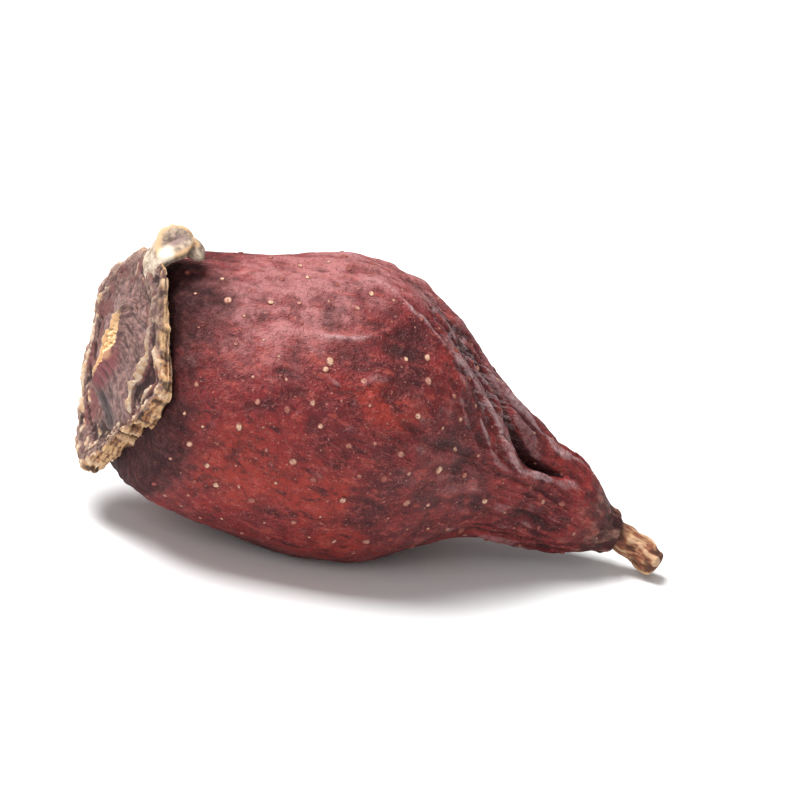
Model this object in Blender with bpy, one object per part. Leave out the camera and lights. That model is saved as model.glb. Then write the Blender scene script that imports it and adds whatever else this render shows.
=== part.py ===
"""A dried Cherokee rose hip lying on its side, with one closed solid for each piece of the fruit.

Lengths are metres and angles are radians. Every piece is modelled in the fruit's own frame: +X runs
along the fruit from the calyx rim to the stalk, +Z is the upper side and -Y the near side. An empty
carries all the pieces and turns that frame into the rest position, where the belly lies on a small
flat spot and the stalk end points down. The middle of the flat spot is the world origin.
"""

import math

import bmesh
import bpy
from mathutils import Matrix, Vector

MM = 0.001
FULL_TURN = 2 * math.pi

# Rest position
REST_TILT = math.radians(14.0)  # how far the fruit's axis drops towards the stalk
FLAT_DEPTH = 0.5 * MM  # how much of the belly the flat spot takes off
JOIN_GAP = 0.3 * MM  # clearance between two pieces

# The calyx end leans and turns: its upper and its far part stand farther from the stalk than the others
CALYX_LEAN = 0.15  # shift along the axis as a share of the height
CALYX_TURN = 0.17  # shift along the axis as a share of the distance to the far side
LEAN_WHOLE = 0.5 * MM  # place along the axis up to which all of both holds
LEAN_END = 7.0 * MM  # place along the axis where both have died out

# Body: the swollen receptacle. Each row is a station along the axis, then the height of its top edge
# and of its bottom edge from the axis, then its half width.
BODY_STATIONS = (
    (1.6 * MM, 6.2 * MM, -6.6 * MM, 6.3 * MM),
    (3.6 * MM, 7.1 * MM, -6.9 * MM, 6.9 * MM),
    (7.0 * MM, 8.5 * MM, -7.1 * MM, 7.7 * MM),
    (10.5 * MM, 9.6 * MM, -7.2 * MM, 8.2 * MM),
    (13.5 * MM, 9.8 * MM, -7.0 * MM, 8.1 * MM),
    (16.5 * MM, 9.0 * MM, -6.0 * MM, 7.2 * MM),
    (19.0 * MM, 7.4 * MM, -4.6 * MM, 5.9 * MM),
    (21.5 * MM, 5.7 * MM, -3.2 * MM, 4.6 * MM),
    (24.5 * MM, 4.3 * MM, -2.6 * MM, 3.4 * MM),
    (27.5 * MM, 3.2 * MM, -2.4 * MM, 2.6 * MM),
    (30.0 * MM, 1.4 * MM, -1.3 * MM, 1.4 * MM),
)
SHOULDER_DROP = 1.6 * MM  # how much the rounded calyx shoulder takes off the radius
SHOULDER_LENGTH = 0.9 * MM
NECK_END_LENGTH = 0.5 * MM
NECK_END_ROUNDING = ((0.93, 0.6), (0.72, 1.0))  # share of the radius, share of the length
# Broad bulges that keep the cross-sections from being true ellipses: lobes, share of radius, phase.
BODY_LOBES = ((2, 0.010, 0.6), (3, 0.014, 1.9), (5, 0.007, 0.4))
BODY_LOBE_TWIST = 18.0  # radians of phase per metre along the axis
# Shallow dents left by drying: place along the axis, angle from the top, depth, radius.
BODY_DENTS = (
    (8.0 * MM, math.radians(75), 0.20 * MM, 3.4 * MM),
    (9.5 * MM, math.radians(232), 0.45 * MM, 4.2 * MM),
    (16.0 * MM, math.radians(288), 0.40 * MM, 3.4 * MM),
    (5.5 * MM, math.radians(325), 0.25 * MM, 3.0 * MM),
)
# The deep pleat of the neck: place along the axis, angle from the top, depth, half width.
MAIN_PLEAT = (
    (12.0 * MM, math.radians(-4), 0.00 * MM, 1.7 * MM),
    (15.5 * MM, math.radians(1), 0.35 * MM, 1.5 * MM),
    (18.5 * MM, math.radians(15), 0.65 * MM, 1.1 * MM),
    (21.0 * MM, math.radians(40), 1.05 * MM, 0.8 * MM),
    (24.5 * MM, math.radians(50), 1.10 * MM, 0.7 * MM),
    (27.5 * MM, math.radians(55), 0.40 * MM, 0.6 * MM),
    (29.5 * MM, math.radians(58), 0.00 * MM, 0.5 * MM),
)
PLEAT_LIP_HEIGHT = 0.32  # share of the pleat's depth
PLEAT_LIP_OFFSET = 1.7  # half widths from the pleat's bottom to its lip
PLEAT_LIP_WIDTH = 0.75  # half widths
# Straight folds that run into the neck: angle from the top, start, end, depth, half width.
NECK_FOLDS = (
    (math.radians(92), 20.0 * MM, 29.8 * MM, 0.16 * MM, 0.55 * MM),
    (math.radians(128), 18.5 * MM, 29.5 * MM, 0.30 * MM, 0.60 * MM),
    (math.radians(176), 19.5 * MM, 29.8 * MM, 0.22 * MM, 0.60 * MM),
    (math.radians(214), 16.5 * MM, 29.0 * MM, 0.50 * MM, 0.75 * MM),
    (math.radians(252), 18.0 * MM, 29.8 * MM, 0.35 * MM, 0.60 * MM),
    (math.radians(290), 15.5 * MM, 29.0 * MM, 0.60 * MM, 0.80 * MM),
    (math.radians(330), 18.0 * MM, 29.8 * MM, 0.40 * MM, 0.65 * MM),
)

# Calyx plate: the disc that the five fallen sepals left, with a blunt corner under most of them.
# Rows: angle from the top in degrees, radius of the torn outline.
PLATE_RADIUS = 6.4 * MM
PLATE_OUTLINE = (
    (4, 6.5 * MM),
    (40, 6.3 * MM),
    (78, 6.3 * MM),
    (95, 6.9 * MM),
    (112, 6.1 * MM),
    (138, 5.2 * MM),
    (160, 5.6 * MM),
    (178, 6.8 * MM),
    (195, 6.3 * MM),
    (220, 6.3 * MM),
    (236, 6.7 * MM),
    (262, 6.3 * MM),
    (290, 6.9 * MM),
    (315, 6.3 * MM),
    (350, 6.4 * MM),
    (364, 6.5 * MM),
)
PLATE_BACK = 0.4 * MM  # place of the plate's back along the axis
# Half of the plate's section: share of the radius, place along the axis, how much of the warp it takes
PLATE_FACE = (
    (0.20, -0.10 * MM, 0.0),
    (0.45, -0.10 * MM, 0.0),
    (0.62, -0.12 * MM, 0.1),
    (0.74, -0.32 * MM, 0.4),
    (0.86, -0.44 * MM, 0.7),
    (0.95, -0.36 * MM, 0.9),
    (1.00, -0.08 * MM, 1.0),
    (0.99, 0.34 * MM, 1.0),
    (0.93, 0.42 * MM, 0.9),
    (0.82, 0.40 * MM, 0.5),
    (0.68, 0.40 * MM, 0.0),
    (0.30, 0.40 * MM, 0.0),
)
PLATE_WARP = ((2, 0.22 * MM, 2.4), (3, 0.12 * MM, 0.5))  # waves of the rim: count, height, phase

# Nectary dome: the low cone that closes the receptacle, with a mouth for the styles
DOME_BASE_RADIUS = 3.9 * MM
DOME_MOUTH_RADIUS = 1.9 * MM
DOME_BASE = -0.1 * MM - JOIN_GAP
DOME_TOP = -1.2 * MM
DOME_EDGE = 0.3 * MM  # thickness of the dome's outer edge
DOME_LIP_INNER_DROP = 0.12 * MM
DOME_LIP_OUTER_DROP = 0.06 * MM
DOME_FLANK_POWER = 0.8  # under 1 for a flank that bulges outwards
SOCKET_RADIUS = 1.6 * MM
SOCKET_FLOOR = -0.65 * MM

# Style plug: the dried bundle of styles in the dome's mouth
PLUG_RADIUS = SOCKET_RADIUS - JOIN_GAP
PLUG_TOP = -1.45 * MM
PLUG_CROWN = 0.25 * MM

# Sepal stub: the knobbly root of one sepal, which stands up at the rim and curls back over it. Place
# along the axis, distance from the axis, half thickness, half width.
SEPAL_ANGLE = math.radians(4)  # from the top
SEPAL_PATH = (
    (-0.40 * MM, 5.00 * MM, 0.24 * MM, 0.45 * MM),
    (-0.40 * MM, 5.80 * MM, 0.52 * MM, 0.95 * MM),
    (-0.05 * MM, 6.80 * MM, 0.78 * MM, 1.20 * MM),
    (0.70 * MM, 7.50 * MM, 0.82 * MM, 1.20 * MM),
    (1.45 * MM, 7.50 * MM, 0.58 * MM, 1.00 * MM),
    (2.05 * MM, 7.25 * MM, 0.30 * MM, 0.60 * MM),
)

# Stalk stub: place along the axis, shift towards the near side, height above the axis, radius
STALK_PATH = (
    (30.5 * MM + JOIN_GAP, 0.00 * MM, -0.05 * MM, 0.82 * MM),
    (31.5 * MM, 0.16 * MM, -0.20 * MM, 0.83 * MM),
    (32.3 * MM, 0.52 * MM, -0.35 * MM, 0.85 * MM),
    (33.0 * MM, 0.98 * MM, -0.50 * MM, 0.90 * MM),
    (33.5 * MM, 1.28 * MM, -0.58 * MM, 0.66 * MM),
)
STALK_RIDGES = 6
STALK_RIDGE_SHARE = 0.09  # of the radius

# Mesh density: points round each section and rings along each piece
BODY_SEGMENTS, BODY_RINGS, SHOULDER_RINGS = 64, 40, 5
PLATE_SEGMENTS = 60
DOME_SEGMENTS, DOME_FLANK_RINGS = 40, 6
PLUG_SEGMENTS, PLUG_CROWN_RINGS = 24, 4
SEPAL_SEGMENTS, SEPAL_RINGS = 16, 12
STALK_SEGMENTS, STALK_RINGS = 36, 9
SMOOTH_ANGLE = math.radians(40)

# Colour, roughness
DRIED_SKIN = ((0.24, 0.045, 0.035), 0.55)
CALYX_GREY = ((0.20, 0.15, 0.11), 0.85)
DOME_RED = ((0.22, 0.06, 0.045), 0.60)
STYLE_CREAM = ((0.62, 0.46, 0.24), 0.90)
SEPAL_CREAM = ((0.52, 0.44, 0.33), 0.90)
STALK_TAN = ((0.36, 0.22, 0.11), 0.80)


def spline(rows, at):
    """The row of values at a place along a smooth curve through the given rows."""
    last = len(rows) - 1
    at = min(max(at, rows[0][0]), rows[last][0])
    k = max(i for i in range(last) if rows[i][0] <= at)
    span = rows[k + 1][0] - rows[k][0]
    t = (at - rows[k][0]) / span

    def slope(i, column):
        low, high = rows[max(i - 1, 0)], rows[min(i + 1, last)]
        return (high[column] - low[column]) / (high[0] - low[0])

    def value(column):
        start, end = rows[k][column], rows[k + 1][column]
        return (
            start * (2 * t**3 - 3 * t**2 + 1)
            + end * (3 * t**2 - 2 * t**3)
            + slope(k, column) * span * (t**3 - 2 * t**2 + t)
            + slope(k + 1, column) * span * (t**3 - t**2)
        )

    return [value(column) for column in range(1, len(rows[0]))]


def bell(distance, width):
    """1 at no distance, and smoothly less further away."""
    return math.exp(-((distance / width) ** 2))


def turned_by(angle, other):
    """The signed angle from other to angle, at most half a turn."""
    return (angle - other + math.pi) % FULL_TURN - math.pi


def fade(place, start, end):
    """0 at both ends of a stretch and 1 in its middle."""
    if not start < place < end:
        return 0.0
    return math.sin(math.pi * (place - start) / (end - start))


def relief(place, angle, radius):
    """How far the body's skin stands out from its plain outline, at a place and an angle from the top."""
    height = 0.0
    for count, share, phase in BODY_LOBES:
        height += share * radius * math.cos(count * angle + phase + BODY_LOBE_TWIST * place)
    for dent_place, dent_angle, depth, width in BODY_DENTS:
        across = radius * turned_by(angle, dent_angle)
        height -= depth * bell(math.hypot(place - dent_place, across), width)
    for fold_angle, start, end, depth, width in NECK_FOLDS:
        across = radius * turned_by(angle, fold_angle)
        height -= depth * fade(place, start, end) * bell(across, width)
    if MAIN_PLEAT[0][0] < place < MAIN_PLEAT[-1][0]:
        pleat_angle, depth, width = spline(MAIN_PLEAT, place)
        across = radius * turned_by(angle, pleat_angle)
        lip = bell(across - PLEAT_LIP_OFFSET * width, PLEAT_LIP_WIDTH * width)
        height += depth * (PLEAT_LIP_HEIGHT * lip - bell(across, width))
    return height


def body_ring(place, along, share=1.0):
    """A closed section of the body, taken from the station at place and set at along."""
    top, bottom, side = spline(BODY_STATIONS, place)
    middle, rise = (top + bottom) / 2, (top - bottom) / 2
    radius = (rise + side) / 2
    ring = []
    for i in range(BODY_SEGMENTS):
        angle = FULL_TURN * i / BODY_SEGMENTS
        grown = share * (1 + relief(place, angle, radius) / radius)
        ring.append(
            Vector((along, -side * math.sin(angle) * grown, middle + rise * math.cos(angle) * grown))
        )
    return ring


def body_rings():
    """Sections from the rounded calyx shoulder to the end of the neck."""
    first, last = BODY_STATIONS[0][0], BODY_STATIONS[-1][0]
    shoulder_radius = spline(BODY_STATIONS, first)[2]
    rings = []
    for i in range(SHOULDER_RINGS, 0, -1):
        turn = math.pi / 2 * i / SHOULDER_RINGS
        drop = SHOULDER_DROP * (1 - math.cos(turn)) / shoulder_radius
        rings.append(body_ring(first, first - SHOULDER_LENGTH * math.sin(turn), 1 - drop))
    for i in range(BODY_RINGS):
        place = first + (last - first) * i / (BODY_RINGS - 1)
        rings.append(body_ring(place, place))
    for radius_share, length_share in NECK_END_ROUNDING:
        rings.append(body_ring(last, last + NECK_END_LENGTH * length_share, radius_share))
    return rings


def plate_rings():
    """Rings of the calyx plate, from the middle of its face round the rim to the middle of its back."""
    rings = []
    for share, along, warped in PLATE_FACE:
        ring = []
        for i in range(PLATE_SEGMENTS):
            angle = FULL_TURN * i / PLATE_SEGMENTS
            start = PLATE_OUTLINE[0][0]
            edge = spline(PLATE_OUTLINE, start + (math.degrees(angle) - start) % 360)[0]
            radius = share * (PLATE_RADIUS + share**2 * (edge - PLATE_RADIUS))
            warp = sum(height * math.cos(count * angle + phase) for count, height, phase in PLATE_WARP)
            ring.append(
                Vector((along + warped * warp, -radius * math.sin(angle), radius * math.cos(angle)))
            )
        rings.append(ring)
    return rings


def turned_rings(profile, segments):
    """Rings of a piece turned about the axis, from pairs of radius and place along the axis."""
    rings = []
    for radius, along in profile:
        angles = [FULL_TURN * i / segments for i in range(segments)]
        rings.append([Vector((along, -radius * math.sin(a), radius * math.cos(a))) for a in angles])
    return rings


def dome_rings():
    """The nectary dome from the floor of its socket, over the mouth and down the flank."""
    flank_top = DOME_TOP + DOME_LIP_OUTER_DROP
    flank_drop = DOME_BASE - DOME_EDGE - flank_top
    profile = [
        (SOCKET_RADIUS, SOCKET_FLOOR),
        (SOCKET_RADIUS, DOME_TOP + DOME_LIP_INNER_DROP),
        ((DOME_MOUTH_RADIUS + SOCKET_RADIUS) / 2, DOME_TOP),
        (DOME_MOUTH_RADIUS, flank_top),
    ]
    for i in range(1, DOME_FLANK_RINGS + 1):
        t = i / DOME_FLANK_RINGS
        radius = DOME_MOUTH_RADIUS + (DOME_BASE_RADIUS - DOME_MOUTH_RADIUS) * t
        profile.append((radius, flank_top + flank_drop * t**DOME_FLANK_POWER))
    profile.append((DOME_BASE_RADIUS, DOME_BASE))
    return turned_rings(profile, DOME_SEGMENTS)


def plug_rings():
    """The style plug, with a crowned top."""
    profile = []
    for i in range(1, PLUG_CROWN_RINGS + 1):
        turn = math.pi / 2 * i / PLUG_CROWN_RINGS
        profile.append((PLUG_RADIUS * math.sin(turn), PLUG_TOP + PLUG_CROWN * (1 - math.cos(turn))))
    profile.append((PLUG_RADIUS, SOCKET_FLOOR - JOIN_GAP))
    return turned_rings(profile, PLUG_SEGMENTS)


def sepal_rings(grow=0.0):
    """Sections of the sepal stub along its curl, each set square to the path, made larger by grow."""
    steps = len(SEPAL_PATH) - 1
    rows = [(i / steps, *row) for i, row in enumerate(SEPAL_PATH)]
    side = Vector((0, -math.cos(SEPAL_ANGLE), -math.sin(SEPAL_ANGLE)))
    outward = Vector((0, -math.sin(SEPAL_ANGLE), math.cos(SEPAL_ANGLE)))
    middles = [spline(rows, i / (SEPAL_RINGS - 1)) for i in range(SEPAL_RINGS)]
    rings = []
    for i, (along, distance, thick, wide) in enumerate(middles):
        before, after = middles[max(i - 1, 0)], middles[min(i + 1, SEPAL_RINGS - 1)]
        run = Vector((1, 0, 0)) * (after[0] - before[0]) + outward * (after[1] - before[1])
        run.normalize()
        ends = {0: -1, SEPAL_RINGS - 1: 1}
        middle = Vector((along, 0, 0)) + outward * distance + run * grow * ends.get(i, 0)
        square = side.cross(run)
        ring = []
        for k in range(SEPAL_SEGMENTS):
            angle = FULL_TURN * k / SEPAL_SEGMENTS
            across = side * (wide + grow) * math.cos(angle)
            ring.append(middle + across + square * (thick + grow) * math.sin(angle))
        rings.append(ring)
    return rings


def stalk_rings():
    """Ridged sections of the stalk stub, which bends to the near side and swells where it broke off."""
    first, last = STALK_PATH[0][0], STALK_PATH[-1][0]
    middles = []
    for i in range(STALK_RINGS):
        along = first + (last - first) * i / (STALK_RINGS - 1)
        near, height, radius = spline(STALK_PATH, along)
        middles.append((Vector((along, -near, height)), radius))
    rings = []
    for i, (middle, radius) in enumerate(middles):
        run = middles[min(i + 1, STALK_RINGS - 1)][0] - middles[max(i - 1, 0)][0]
        side = run.cross(Vector((0, 0, 1))).normalized()
        above = side.cross(run).normalized()
        ring = []
        for k in range(STALK_SEGMENTS):
            angle = FULL_TURN * k / STALK_SEGMENTS
            grown = radius * (1 + STALK_RIDGE_SHARE * math.cos(STALK_RIDGES * angle))
            ring.append(middle + side * grown * math.sin(angle) + above * grown * math.cos(angle))
        rings.append(ring)
    return rings


def leaned(point):
    """A point of the fruit, moved along the axis by the lean and the turn of the calyx end."""
    t = min(max((LEAN_END - point.x) / (LEAN_END - LEAN_WHOLE), 0), 1)
    shift = CALYX_LEAN * point.z + CALYX_TURN * point.y
    return point - Vector((t * t * (3 - 2 * t) * shift, 0, 0))


def loft(rings):
    """A closed mesh through the leaned rings, with both ends capped and its faces pointing out."""
    bm = bmesh.new()
    loops = [[bm.verts.new(leaned(point)) for point in ring] for ring in rings]
    count = len(loops[0])
    for near, far in zip(loops, loops[1:]):
        for i in range(count):
            j = (i + 1) % count
            bm.faces.new((near[i], near[j], far[j], far[i]))
    bm.faces.new(loops[0])
    bm.faces.new(reversed(loops[-1]))
    bmesh.ops.recalc_face_normals(bm, faces=bm.faces)
    return bm


def paint(name, look):
    """A plain Principled material."""
    colour, roughness = look
    material = bpy.data.materials.new(name)
    material.use_nodes = True
    shader = material.node_tree.nodes["Principled BSDF"]
    shader.inputs["Base Color"].default_value = (*colour, 1)
    shader.inputs["Roughness"].default_value = roughness
    shader.inputs["Metallic"].default_value = 0
    return material


def add_piece(name, bm, look, carrier):
    """A smooth-shaded object from the mesh, carried by the empty."""
    mesh = bpy.data.meshes.new(name)
    bm.to_mesh(mesh)
    bm.free()
    mesh.shade_smooth()
    mesh.set_sharp_from_angle(angle=SMOOTH_ANGLE)
    mesh.materials.append(paint(name + "_finish", look))
    piece = bpy.data.objects.new(name, mesh)
    bpy.context.scene.collection.objects.link(piece)
    piece.parent = carrier
    return piece


def cut_flat_spot(bm):
    """Slices the belly along the floor, and returns the middle of the flat spot in the fruit's frame."""
    up = Vector((-math.sin(REST_TILT), 0, math.cos(REST_TILT)))
    lowest = min(bm.verts, key=lambda vert: vert.co.dot(up)).co
    bmesh.ops.bisect_plane(
        bm,
        geom=bm.verts[:] + bm.edges[:] + bm.faces[:],
        plane_co=lowest + up * FLAT_DEPTH,
        plane_no=up,
        clear_inner=True,
    )
    rim = [edge for edge in bm.edges if edge.is_boundary]
    spot = bmesh.ops.edgeloop_fill(bm, edges=rim)["faces"][0]
    middle = spot.calc_center_median_weighted()
    bmesh.ops.recalc_face_normals(bm, faces=bm.faces)
    return middle


def notch(piece, cutter):
    """Cuts the cutter's shape out of the piece."""
    modifier = piece.modifiers.new("sepal_notch", "BOOLEAN")
    modifier.operation = "DIFFERENCE"
    modifier.solver = "EXACT"
    modifier.object = cutter


def build():
    for old in list(bpy.data.objects):
        bpy.data.objects.remove(old)
    carrier = bpy.data.objects.new("fruit_axis", None)
    bpy.context.scene.collection.objects.link(carrier)

    body = loft(body_rings())
    flat_middle = cut_flat_spot(body)
    add_piece("hip_body", body, DRIED_SKIN, carrier)
    plate = add_piece("calyx_plate", loft(plate_rings()), CALYX_GREY, carrier)
    add_piece("nectary_dome", loft(dome_rings()), DOME_RED, carrier)
    add_piece("style_plug", loft(plug_rings()), STYLE_CREAM, carrier)
    add_piece("sepal_stub", loft(sepal_rings()), SEPAL_CREAM, carrier)
    add_piece("stalk_stub", loft(stalk_rings()), STALK_TAN, carrier)

    clearance = add_piece("sepal_clearance", loft(sepal_rings(JOIN_GAP)), SEPAL_CREAM, carrier)
    clearance.hide_render = True
    clearance.display_type = "WIRE"
    notch(plate, clearance)

    turn = Matrix.Rotation(REST_TILT, 4, "Y")
    carrier.matrix_world = Matrix.Translation(-(turn @ flat_middle)) @ turn


build()
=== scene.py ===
"""The looks of a dried Cherokee rose hip that lies on a pale studio floor.

Shapes are worked out in millimetres in the fruit's own frame: +X runs along the fruit from the calyx rim
to the stalk, +Z is its upper side and -Y its near side. Angles round the fruit are degrees or radians
from the upper side, growing towards the near side. place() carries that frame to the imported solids.
"""

import math

import bmesh
import bpy
import numpy as np
from mathutils import Matrix, Vector, noise


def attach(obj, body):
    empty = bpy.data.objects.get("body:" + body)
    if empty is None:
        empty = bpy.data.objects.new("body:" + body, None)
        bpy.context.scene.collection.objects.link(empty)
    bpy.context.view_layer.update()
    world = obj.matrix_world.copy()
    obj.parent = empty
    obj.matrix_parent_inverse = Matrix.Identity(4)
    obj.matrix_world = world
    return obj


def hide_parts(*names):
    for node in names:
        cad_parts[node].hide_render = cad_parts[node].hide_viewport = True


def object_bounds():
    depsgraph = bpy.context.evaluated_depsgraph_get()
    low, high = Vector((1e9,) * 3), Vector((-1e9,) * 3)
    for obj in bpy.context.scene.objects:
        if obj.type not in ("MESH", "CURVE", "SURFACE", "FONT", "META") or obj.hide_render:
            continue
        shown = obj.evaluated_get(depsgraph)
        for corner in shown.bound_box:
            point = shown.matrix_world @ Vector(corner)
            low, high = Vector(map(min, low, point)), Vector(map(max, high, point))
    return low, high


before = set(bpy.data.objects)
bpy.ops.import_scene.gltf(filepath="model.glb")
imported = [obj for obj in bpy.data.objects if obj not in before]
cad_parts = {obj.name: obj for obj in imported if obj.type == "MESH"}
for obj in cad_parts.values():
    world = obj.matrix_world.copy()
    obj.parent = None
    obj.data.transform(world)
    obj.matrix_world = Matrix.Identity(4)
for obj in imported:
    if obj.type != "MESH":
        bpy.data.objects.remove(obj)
cad_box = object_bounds()

MM = 0.001
FULL_TURN = 2 * math.pi

# Rest position
REST_TILT = math.radians(14.0)  # how far the fruit's axis drops towards the stalk
TURN = np.array(Matrix.Rotation(REST_TILT, 3, "Y"))
BELLY_SOFTNESS = 0.12  # how gradually the belly meets the floor
BELLY_CLEARANCE = 0.35  # the scars nearer to the floor are left out

# The calyx end leans and turns: its upper and its far part stand farther from the stalk than the others
CALYX_LEAN = 0.15  # shift along the axis as a share of the height
CALYX_TURN = 0.17  # shift along the axis as a share of the distance to the far side
LEAN_WHOLE, LEAN_END = 0.5, 7.0  # places where all of both holds and where both have died out

# Body: place along the axis, height of the top edge and of the bottom edge, half width
BODY_STATIONS = (
    (1.6, 6.2, -6.6, 6.3),
    (3.6, 7.1, -6.9, 6.9),
    (7.0, 8.5, -7.1, 7.7),
    (10.5, 9.6, -7.2, 8.2),
    (13.5, 9.7, -7.0, 8.1),
    (16.5, 8.6, -6.0, 7.2),
    (19.0, 6.9, -4.6, 5.9),
    (21.5, 5.5, -3.2, 4.6),
    (24.5, 4.1, -2.6, 3.4),
    (27.5, 3.0, -2.3, 2.5),
    (30.0, 1.3, -1.3, 1.35),
)
SHOULDER_DROP = 1.6
SHOULDER_LENGTH = 0.9
NECK_END_LENGTH = 0.6
NECK_END_DROP = 0.30  # share of the radius
NECK_END_DIMPLE = 0.12
CAP_BULGE, CAP_WIDTH = 0.25, 0.7  # the closed end behind the plate
KNOTS, KNOT_HEIGHT = 9, 0.16  # round the end of the neck
BODY_AROUND, BODY_ALONG = 400, 206
SHOULDER_RINGS, NECK_END_RINGS = 16, 9

# Broad bulges: lobes round the section, share of the radius, phase
BODY_LOBES = ((2, 0.010, 0.6), (3, 0.014, 1.9), (5, 0.007, 0.4))
BODY_LOBE_TWIST = 0.018  # radians of phase per millimetre along the axis
# Shallow dents left by drying: place, angle in degrees, depth, radius
BODY_DENTS = (
    (8.0, 75, 0.20, 3.4), (9.5, 232, 0.45, 4.2), (16.0, 288, 0.40, 3.4), (5.5, 325, 0.25, 3.0),
    (9.6, 57, 0.16, 1.3), (12.6, 40, 0.20, 1.5), (17.4, 76, 0.25, 2.0), (13.0, 108, 0.15, 2.6),
)
# The pleat of the near side, a line on the skin. Rows: place, angle in degrees, height, half width.
MAIN_PLEAT = (
    (11.5, -8, 0.00, 1.30), (13.0, -3, -0.16, 1.00), (14.6, 6, -0.28, 0.75), (16.4, 14, -0.32, 0.60),
    (18.6, 19, -0.34, 0.52), (20.0, 27, -0.46, 0.52), (21.2, 38, -1.00, 0.54), (22.4, 47, -1.60, 0.52),
    (23.8, 48, -1.30, 0.42), (25.2, 43, -0.45, 0.34), (27.0, 36, 0.00, 0.32),
)
PLEAT_UPPER_STEEPNESS, PLEAT_LOWER_STEEPNESS = 1.5, 0.85
PLEAT_SHARPNESS = 1.6
# Thin wrinkles crowd together beside the pleat, a little below its line
CROWD_BELOW_PLEAT = 9  # degrees
CROWD_WIDTH = 2.2
CROWD_MIDDLE, CROWD_LENGTH = 17.5, 4.5
CROWDING = 1.3  # how much stronger they are there
# Other folds of the near side, in the same kind of rows
NEAR_FOLDS = (
    # the lip of the pleat
    (
        (9.0, 9, 0.00, 0.60), (11.0, 14, 0.08, 0.40), (12.4, 21, 0.13, 0.26), (13.8, 27, 0.18, 0.22),
        (15.2, 32, 0.20, 0.20), (17.4, 37, 0.22, 0.19), (19.2, 42, 0.26, 0.20), (20.4, 53, 0.34, 0.24),
        (21.4, 61, 0.38, 0.26), (22.6, 62, 0.36, 0.27), (24.4, 56, 0.26, 0.28), (26.2, 48, 0.14, 0.34),
        (27.6, 42, 0.00, 0.34),
    ),
    # the ridge that draws the neck's upper outline
    (
        (12.0, -24, 0.00, 0.70), (14.6, -9, 0.08, 0.50), (16.4, 1, 0.05, 0.45), (18.8, 8, 0.20, 0.32),
        (20.6, 17, 0.26, 0.30), (22.4, 22, 0.24, 0.30), (24.4, 22, 0.20, 0.30), (26.2, 19, 0.16, 0.30),
        (28.2, 10, 0.10, 0.30), (29.6, 4, 0.00, 0.30),
    ),
    # a branch of the lip nearer the viewer, which dies out above the pocket
    (
        (15.4, 36, 0.00, 0.40), (16.8, 44, 0.16, 0.30), (18.2, 50, 0.22, 0.28), (19.4, 59, 0.24, 0.28),
        (20.6, 70, 0.16, 0.32), (22.0, 78, 0.00, 0.40),
    ),
    # thin creases between the outline ridge and the lip
    (
        (13.0, 6, 0.00, 0.26), (15.0, 20, -0.18, 0.22), (17.2, 27, -0.24, 0.20),
        (19.4, 33, -0.22, 0.20), (21.0, 48, 0.00, 0.22),
    ),
    (
        (14.5, -26, 0.00, 0.50), (17.5, -17, -0.28, 0.34), (21.0, -8, -0.34, 0.32),
        (25.0, 0, -0.24, 0.30), (28.5, 2, 0.00, 0.30),
    ),
    # thin ridges that join them
    (
        (14.0, -2, 0.00, 0.20), (15.4, 10, 0.14, 0.17), (17.0, 22, 0.17, 0.17), (18.8, 29, 0.17, 0.17),
        (20.4, 40, 0.00, 0.18),
    ),
    (
        (16.4, 4, 0.00, 0.20), (18.0, 12, 0.14, 0.17), (20.0, 20, 0.16, 0.17), (22.0, 30, 0.12, 0.18),
        (23.8, 34, 0.00, 0.20),
    ),
    (
        (16.0, 48, 0.00, 0.20), (17.2, 56, 0.12, 0.18), (18.6, 64, 0.14, 0.18), (20.0, 78, 0.00, 0.20),
    ),
    # a pale swirl across the upper belly
    (
        (5.2, 40, 0.00, 0.34), (6.6, 43, 0.09, 0.30), (8.6, 44, 0.12, 0.28), (10.8, 40, 0.11, 0.28),
        (12.2, 28, 0.08, 0.28), (13.0, 14, 0.00, 0.30),
    ),
    (
        (8.0, 52, 0.00, 0.24), (8.8, 60, 0.10, 0.24), (9.8, 63, 0.12, 0.24), (10.8, 60, 0.10, 0.24),
        (11.6, 50, 0.00, 0.24),
    ),
    # a long soft fold down the neck's near side
    (
        (19.5, 104, 0.00, 0.90), (22.5, 100, -0.20, 0.70), (26.0, 98, -0.22, 0.50),
        (29.0, 96, 0.00, 0.40),
    ),
)
# Noise that bends the folds' lines: size, height, seed
FOLD_SWAY = ((1.9, 0.30, 24), (0.8, 0.16, 25))
# Noise that breaks them up: size, amount, seed, least share, most share
FOLD_BREAKS = (1.4, 1.1, 26, 0.35, 1.7)
# Straight folds that run into the neck: angle in degrees, start, end, depth, half width
NECK_FOLDS = (
    (128, 18.5, 29.5, 0.30, 0.60), (152, 21.0, 29.8, 0.18, 0.40), (176, 19.5, 29.8, 0.22, 0.60),
    (214, 16.5, 29.0, 0.50, 0.75), (233, 20.0, 29.8, 0.24, 0.40), (252, 18.0, 29.8, 0.35, 0.60),
    (290, 15.5, 29.0, 0.60, 0.80), (311, 19.0, 29.6, 0.28, 0.45), (330, 18.0, 29.8, 0.40, 0.65),
)
# Wrinkles that run along the fruit, rounded with sharp valleys: width, length, height, seed
LONG_WRINKLES = ((2.6, 11.0, 0.26, 3), (1.3, 6.0, 0.14, 5), (0.7, 3.4, 0.07, 8))
# Thin raised lines, in the same kind of rows
FINE_LINES = ((1.1, 7.0, 0.10, 31), (0.6, 3.0, 0.055, 32))
# Noise that bends both: size, height in radians, seed
WRINKLE_SWAY = ((6.0, 0.22, 21), (2.4, 0.08, 22))
UNROLLED_RADIUS = 6.0  # both are laid out as if the fruit were this thick all along
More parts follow.
